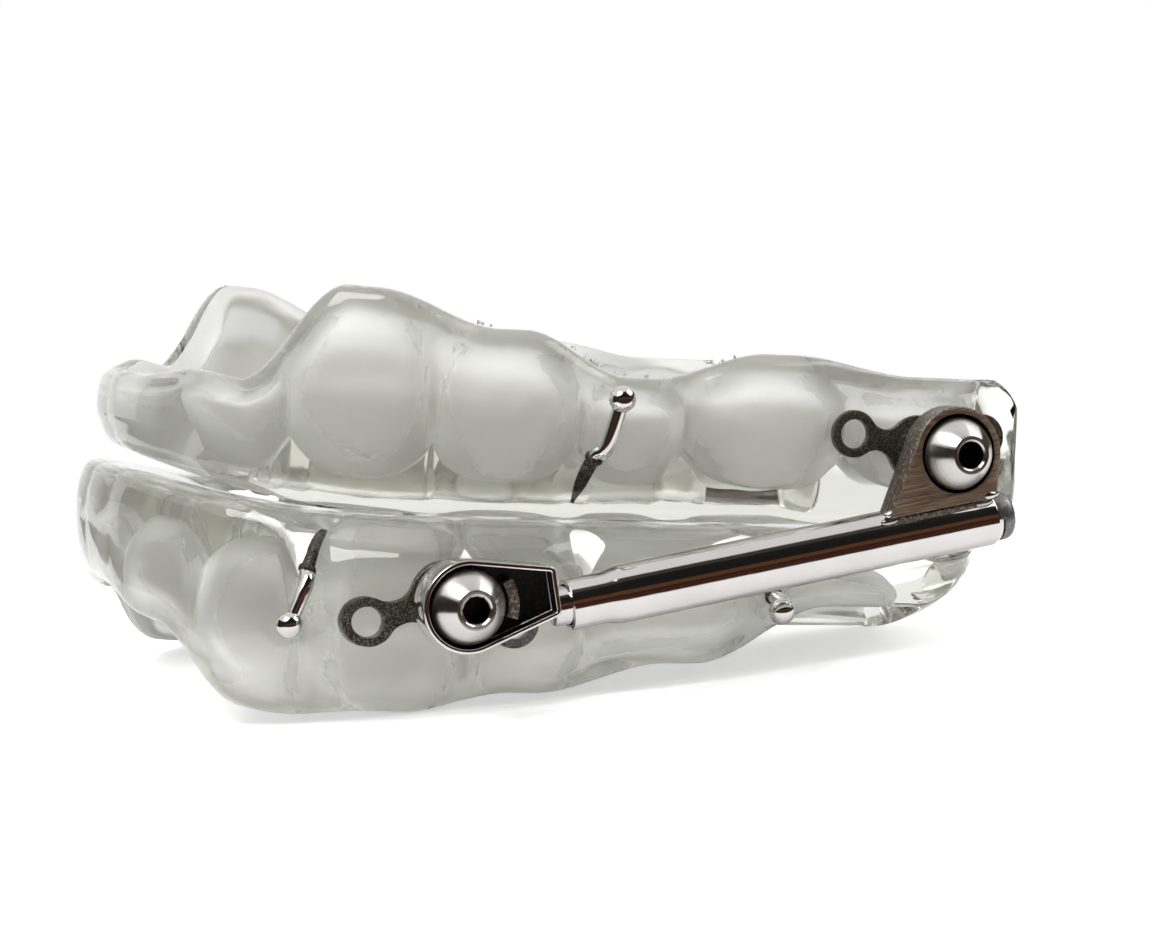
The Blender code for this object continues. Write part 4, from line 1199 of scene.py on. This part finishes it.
class Finish:
    """One material, with its Principled shader and its Object coordinates at hand."""

    def __init__(self, name, place=None, **flat):
        self.made = bpy.data.materials.new(name)
        self.made.use_nodes = True
        self.tree = self.made.node_tree
        self.shader = self.tree.nodes["Principled BSDF"]
        for key, value in flat.items():
            self.shader.inputs[key.replace("_", " ")].default_value = value
        self.where = node(self.tree, "TexCoord").outputs["Object"]
        if place is not None:
            mapping = node(self.tree, "Mapping", vector_type="TEXTURE",
                           Location=place.to_translation(), Rotation=place.to_euler())
            self.tree.links.new(self.where, mapping.inputs["Vector"])
            self.where = mapping.outputs[0]

    def follow(self, group, colour, roughness=None, bumps=(), **scales):
        """Lets colour, roughness and bumps follow the masks of a node group.

        Colour and roughness are (mask, low, high), and a bump is (mask, strength, distance).
        """
        pattern = self.tree.nodes.new("ShaderNodeGroup")
        pattern.node_tree = group
        self.tree.links.new(self.where, pattern.inputs["Vector"])
        for key, value in scales.items():
            pattern.inputs[key.replace("_", " ")].default_value = value
        mask, low, high = colour
        mix = node(self.tree, "Mix", data_type="RGBA")
        mix.inputs[MIX_LOW].default_value = (*low, 1)
        mix.inputs[MIX_HIGH].default_value = (*high, 1)
        wire(self.tree, (pattern, mask, mix, 0), (mix, MIX_RESULT, self.shader, "Base Color"))
        if roughness:
            mask, low, high = roughness
            span = node(self.tree, "MapRange", to_min=low, to_max=high)
            wire(self.tree, (pattern, mask, span, "Value"),
                 (span, "Result", self.shader, "Roughness"))
        before = None
        for mask, strength, distance in bumps:
            bump = node(self.tree, "Bump", strength=strength, distance=distance)
            wire(self.tree, (pattern, mask, bump, "Height"))
            if before:
                wire(self.tree, (before, "Normal", bump, "Normal"))
            before = bump
        if before:
            wire(self.tree, (before, "Normal", self.shader, "Normal"))
        return self

    def across_turning(self):
        """Points the anisotropy away from the X axis of the piece's own coordinates."""
        split = node(self.tree, "SeparateXYZ")
        away = node(self.tree, "CombineXYZ")
        world = node(self.tree, "VectorTransform", vector_type="VECTOR",
                     convert_from="OBJECT", convert_to="WORLD")
        self.tree.links.new(self.where, split.inputs[0])
        wire(self.tree, (split, "Y", away, "Y"), (split, "Z", away, "Z"),
             (away, 0, world, 0), (world, 0, self.shader, "Tangent"))
        return self

    def absorb(self):
        """What the plastic takes from the light on its way through."""
        volume = node(self.tree, "VolumeAbsorption", Color=(*ACRYLIC_TINT, 1),
                      density=ACRYLIC_DENSITY)
        wire(self.tree, (volume, "Volume", self.tree.nodes["Material Output"], "Volume"))
        return self


def make_finishes():
    """Every finish by its short name."""
    grain = make_grain()
    lines = make_lines()
    finishes = {}

    finishes["acrylic"] = Finish("clear_acrylic", Transmission_Weight=1.0, IOR=1.49).follow(
        grain, Drift_Scale=180.0,
        colour=("Drift", (0.92, 0.925, 0.895), (0.95, 0.955, 0.93)),
        roughness=("Drift", 0.02, 0.07),
        bumps=(("Drift", 0.25, 0.0004),),
    ).absorb()
    for label, clearness in IMPRINT_CLEARNESS:
        imprint = Finish(f"{label}_imprint_acrylic", Transmission_Weight=clearness, IOR=1.49)
        finishes[f"{label}_imprint"] = imprint.follow(
            grain, Pit_Scale=2500.0, Drift_Scale=320.0,
            colour=("Drift", (0.94, 0.94, 0.92), (1.0, 1.0, 0.985)),
            roughness=("Drift", 0.44, 0.60),
            bumps=(("Drift", 0.35, 0.0005), ("Height", 0.12, 0.00006)),
        ).absorb()
    finishes["flake"] = Finish(
        "trimmed_acrylic", Transmission_Weight=0.5, IOR=1.49, Roughness=0.5
    ).follow(grain, Pit_Scale=6000.0, colour=("Pits", (0.50, 0.51, 0.48), (0.85, 0.85, 0.82)))

    finishes["polished"] = Finish("polished_steel", Metallic=1.0).follow(
        grain, Pit_Scale=2600.0, Drift_Scale=300.0, Pit_Share=0.66,
        colour=("Drift", (0.54, 0.52, 0.505), (0.66, 0.64, 0.625)),
        roughness=("Pits", 0.09, 0.26),
        bumps=(("Drift", 0.12, 0.0002),),
    )
    finishes["brushed"] = Finish("brushed_steel", tube_frame(), Metallic=1.0).follow(
        lines, Break_Scale=5200.0,
        colour=("Strokes", (0.015, 0.008, 0.005), (0.40, 0.28, 0.20)),
        roughness=("Strokes", 0.55, 0.32),
        bumps=(("Strokes", 0.9, 0.00016),),
    )
    for label, pivot in (("upper", UPPER_PIVOT), ("lower", LOWER_PIVOT)):
        turned = Finish(f"turned_steel_{label}", pivot_frame(pivot), Metallic=1.0, Anisotropic=0.88)
        finishes[f"{label}_turned"] = turned.across_turning().follow(
            lines, Pitch_Scale=22000.0,
            colour=("Rings", (0.50, 0.48, 0.46), (0.66, 0.64, 0.62)),
            roughness=("Rings", 0.17, 0.26),
            bumps=(("Rings", 0.35, 0.00002),),
        )
    finishes["dark"] = Finish("shadowed_steel", Metallic=0.9).follow(
        grain, Pit_Scale=5200.0,
        colour=("Pits", (0.006, 0.006, 0.005), (0.014, 0.013, 0.012)),
        roughness=("Pits", 0.35, 0.60),
    )
    finishes["sintered"] = Finish("sintered_steel", Metallic=0.85).follow(
        grain, Pit_Scale=8500.0, Drift_Scale=500.0, Pit_Share=0.48,
        colour=("Pits", (0.022, 0.020, 0.016), (0.13, 0.115, 0.09)),
        roughness=("Drift", 0.60, 0.38),
        bumps=(("Height", 0.7, 0.00010),),
    )
    finishes["plug"] = Finish("plug_steel", Metallic=0.9).follow(
        grain, Pit_Scale=5200.0,
        colour=("Pits", (0.15, 0.15, 0.15), (0.24, 0.24, 0.24)),
        roughness=("Drift", 0.30, 0.45),
    )
    # The edge finish is a lighter copy of the sintered steel: painted highlight on edges, sides and
    # the lower lug's ridge.
    finishes["edge"] = Finish("sintered_edge_painted_highlight", Metallic=0.9).follow(
        grain, Pit_Scale=5200.0, Drift_Scale=500.0,
        colour=("Pits", (0.10, 0.08, 0.065), (0.30, 0.26, 0.22)),
        roughness=("Drift", 0.45, 0.28),
    )
    return {label: finish.made for label, finish in finishes.items()}


# The studio


def ray_kinds(tree, *kinds):
    """1 on the rays of any of these kinds."""
    path = node(tree, "LightPath")
    mask = path.outputs[f"Is {kinds[0]} Ray"]
    for kind in kinds[1:]:
        either = node(tree, "Math", operation="MAXIMUM")
        tree.links.new(mask, either.inputs[0])
        tree.links.new(path.outputs[f"Is {kind} Ray"], either.inputs[1])
        mask = either.outputs[0]
    return mask


def make_world():
    world = bpy.data.worlds.new("studio")
    bpy.context.scene.world = world
    tree, output = cleared(world, "OutputWorld")
    mix = node(tree, "MixShader")
    soft = node(tree, "Background", Color=(*SOFT_COLOUR, 1), strength=SOFT_STRENGTH)
    white = node(tree, "Background", Color=(1, 1, 1, 1), strength=1.0)
    tree.links.new(ray_kinds(tree, "Camera", "Glossy", "Transmission"), mix.inputs[0])
    wire(tree, (soft, 0, mix, 1), (white, 0, mix, 2), (mix, 0, output, "Surface"))


def make_floor():
    """A pale table top that runs out into the white background."""
    select_nothing()
    bpy.ops.mesh.primitive_plane_add(size=FLOOR_SIZE, location=(0, 0, -FLOOR_DROP))
    floor = bpy.context.object
    floor.name = "floor"
    made = bpy.data.materials.new("pale_floor")
    tree, output = cleared(made, "OutputMaterial")
    matt = node(tree, "BsdfDiffuse", Color=(*FLOOR_COLOUR, 1))
    glow = node(tree, "Emission")
    lift = node(tree, "Math", operation="MULTIPLY")
    lift.inputs[1].default_value = FLOOR_LIFT
    add = node(tree, "AddShader")
    white = node(tree, "Emission", strength=1.0)
    mix = node(tree, "MixShader")
    where = node(tree, "TexCoord")
    length = node(tree, "VectorMath", operation="LENGTH")
    near, far = FLOOR_FADE
    fade = node(tree, "MapRange", interpolation_type="SMOOTHSTEP", from_min=near, from_max=far)
    tree.links.new(ray_kinds(tree, "Camera", "Transmission"), lift.inputs[0])
    wire(
        tree,
        (lift, 0, glow, "Strength"),
        (matt, 0, add, 0),
        (glow, 0, add, 1),
        (where, "Object", length, 0),
        (length, "Value", fade, "Value"),
        (fade, "Result", mix, 0),
        (add, 0, mix, 1),
        (white, 0, mix, 2),
        (mix, 0, output, "Surface"),
    )
    paint(floor, made)


def make_card(name, place, width, height, faces, colour):
    """A card that shows in reflections only."""
    turn = Vector(faces).to_track_quat("Z", "Y").to_euler()
    select_nothing()
    bpy.ops.mesh.primitive_plane_add(size=1, location=place, rotation=turn)
    card = bpy.context.object
    card.name = name
    card.scale = (width, height, 1)
    made = bpy.data.materials.new(name)
    tree, output = cleared(made, "OutputMaterial")
    glow = node(tree, "Emission", Color=(*colour, 1), strength=1.0)
    wire(tree, (glow, 0, output, "Surface"))
    paint(card, made)
    for kind in ("camera", "diffuse", "shadow", "transmission", "volume_scatter"):
        setattr(card, f"visible_{kind}", False)


def make_lamp(name, place, size, power):
    lamp = bpy.data.lights.new(name, "AREA")
    lamp.shape = "RECTANGLE"
    lamp.size, lamp.size_y = size
    lamp.energy = power
    made = new_object(name, lamp)
    made.location = place
    towards = Vector(LAMP_TARGET) - Vector(place)
    made.rotation_euler = towards.to_track_quat("-Z", "Y").to_euler()


def make_camera():
    back = Vector((
        math.sin(CAMERA_AZIMUTH) * math.cos(CAMERA_ELEVATION),
        -math.cos(CAMERA_AZIMUTH) * math.cos(CAMERA_ELEVATION),
        math.sin(CAMERA_ELEVATION),
    ))
    right = Vector((math.cos(CAMERA_AZIMUTH), math.sin(CAMERA_AZIMUTH), 0))
    up = back.cross(right)
    turn = Matrix((right, up, back)).transposed().to_4x4() @ Matrix.Rotation(CAMERA_ROLL, 4, "Z")
    camera = bpy.data.cameras.new("camera")
    camera.sensor_fit = "HORIZONTAL"
    camera.sensor_width = SENSOR
    camera.lens = FOCAL_PIXELS * SENSOR / PICTURE_WIDTH
    camera.clip_start = CAMERA_NEAR
    made = new_object("camera", camera)
    made.matrix_world = Matrix.Translation(CAMERA_PLACE) @ turn
    bpy.context.scene.camera = made


# The whole splint


def place_pair(piece, label, node_label, bodies):
    """Sets a left piece and its mirrored right copy on their bodies, for the CAD nodes."""
    left = piece
    left.name = f"left_{label}"
    left.data.name = left.name
    right = opposite(left, f"right_{label}")
    for word, made in (("left", left), ("right", right)):
        target = f"{word}_{node_label}"
        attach(made, bodies[target])
        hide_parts(target)


def main():
    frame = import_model()
    groups = frame["record"]["behaviour"]["bodies"]
    bodies = {member: body for body, members in groups.items() for member in members}
    finishes = make_finishes()
    upper = Tray(UPPER_TEETH, UPPER_FRONT, UPPER_HALF_WIDTH, UPPER_DISTAL_WALL, 1, UPPER_PIVOT, 0.0)
    lower = Tray(LOWER_TEETH, LOWER_FRONT, LOWER_HALF_WIDTH, LOWER_DISTAL_WALL, -1, LOWER_PIVOT,
                 LOWER_BEND)
    trays = {"upper": upper, "lower": lower}
    for label, tray in trays.items():
        imprinted = (finishes["acrylic"], finishes[f"{label}_imprint"])
        made = make_tray(f"{label}_tray", tray, imprinted)
        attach(made, f"{label}_tray")
        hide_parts(f"{label}_splint")
    flakes = make_trim_flakes(upper, finishes["flake"])
    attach(flakes, "upper_tray")

    polished, dark = finishes["polished"], finishes["dark"]
    for label, pivot, pad_x, boss_top, offset, bend in (
        ("upper", UPPER_PIVOT, UPPER_PAD_X, UPPER_LUG_INNER + UPPER_LUG_FLOOR + BOSS_PROUD,
         UPPER_ARM_OFFSET, 0.0),
        ("lower", LOWER_PIVOT, LOWER_PAD_X, LOWER_LUG_INNER + LOWER_LUG_FLOOR + BOSS_PROUD,
         LOWER_ARM_OFFSET, LOWER_BEND),
    ):
        plate = make_plate(pad_x, boss_top, offset, trays[label].up, bend,
                           (finishes["sintered"], finishes["edge"]))
        settle(plate, pivot_frame(pivot))
        place_pair(plate, f"{label}_plate", f"{label}_anchor", bodies)
        screw = make_screw(boss_top + SEAT_GAP, pad_x, (finishes[f"{label}_turned"], dark))
        settle(screw, pivot_frame(pivot))
        place_pair(screw, f"{label}_screw", f"{label}_pivot_screw", bodies)
    # The edge finish on the plates and lugs is a painted highlight.
    rod = settle(make_rod((polished, finishes["edge"], dark)), rod_frame())
    place_pair(rod, "inner_rod", "rod", bodies)
    tube = make_tube((polished, finishes["brushed"], dark, finishes["edge"]))
    place_pair(settle(tube, tube_frame()), "outer_tube", "tube", bodies)
    tube_end = tube_frame() @ Matrix.Translation((0, TUBE_LENGTH, 0))
    plug = settle(make_plug(finishes["plug"]), tube_end)
    place_pair(plug, "end_plug", "tube_end_plug", bodies)
    # The hooks' wires take the dark sintered steel inside the plastic and on their collars, as
    # painted shade.
    for label, which, *sizes in HOOKS:
        hook = make_hook(hook_route(trays[which], *sizes), (polished, finishes["sintered"]))
        place_pair(settle(hook, bite_frame()), f"{label}_wire", label, bodies)

    make_world()
    make_floor()
    for card in CARDS:
        make_card(*card)
    for lamp in LAMPS:
        make_lamp(*lamp)
    make_camera()
    bpy.context.scene.view_settings.view_transform = "Standard"


main()
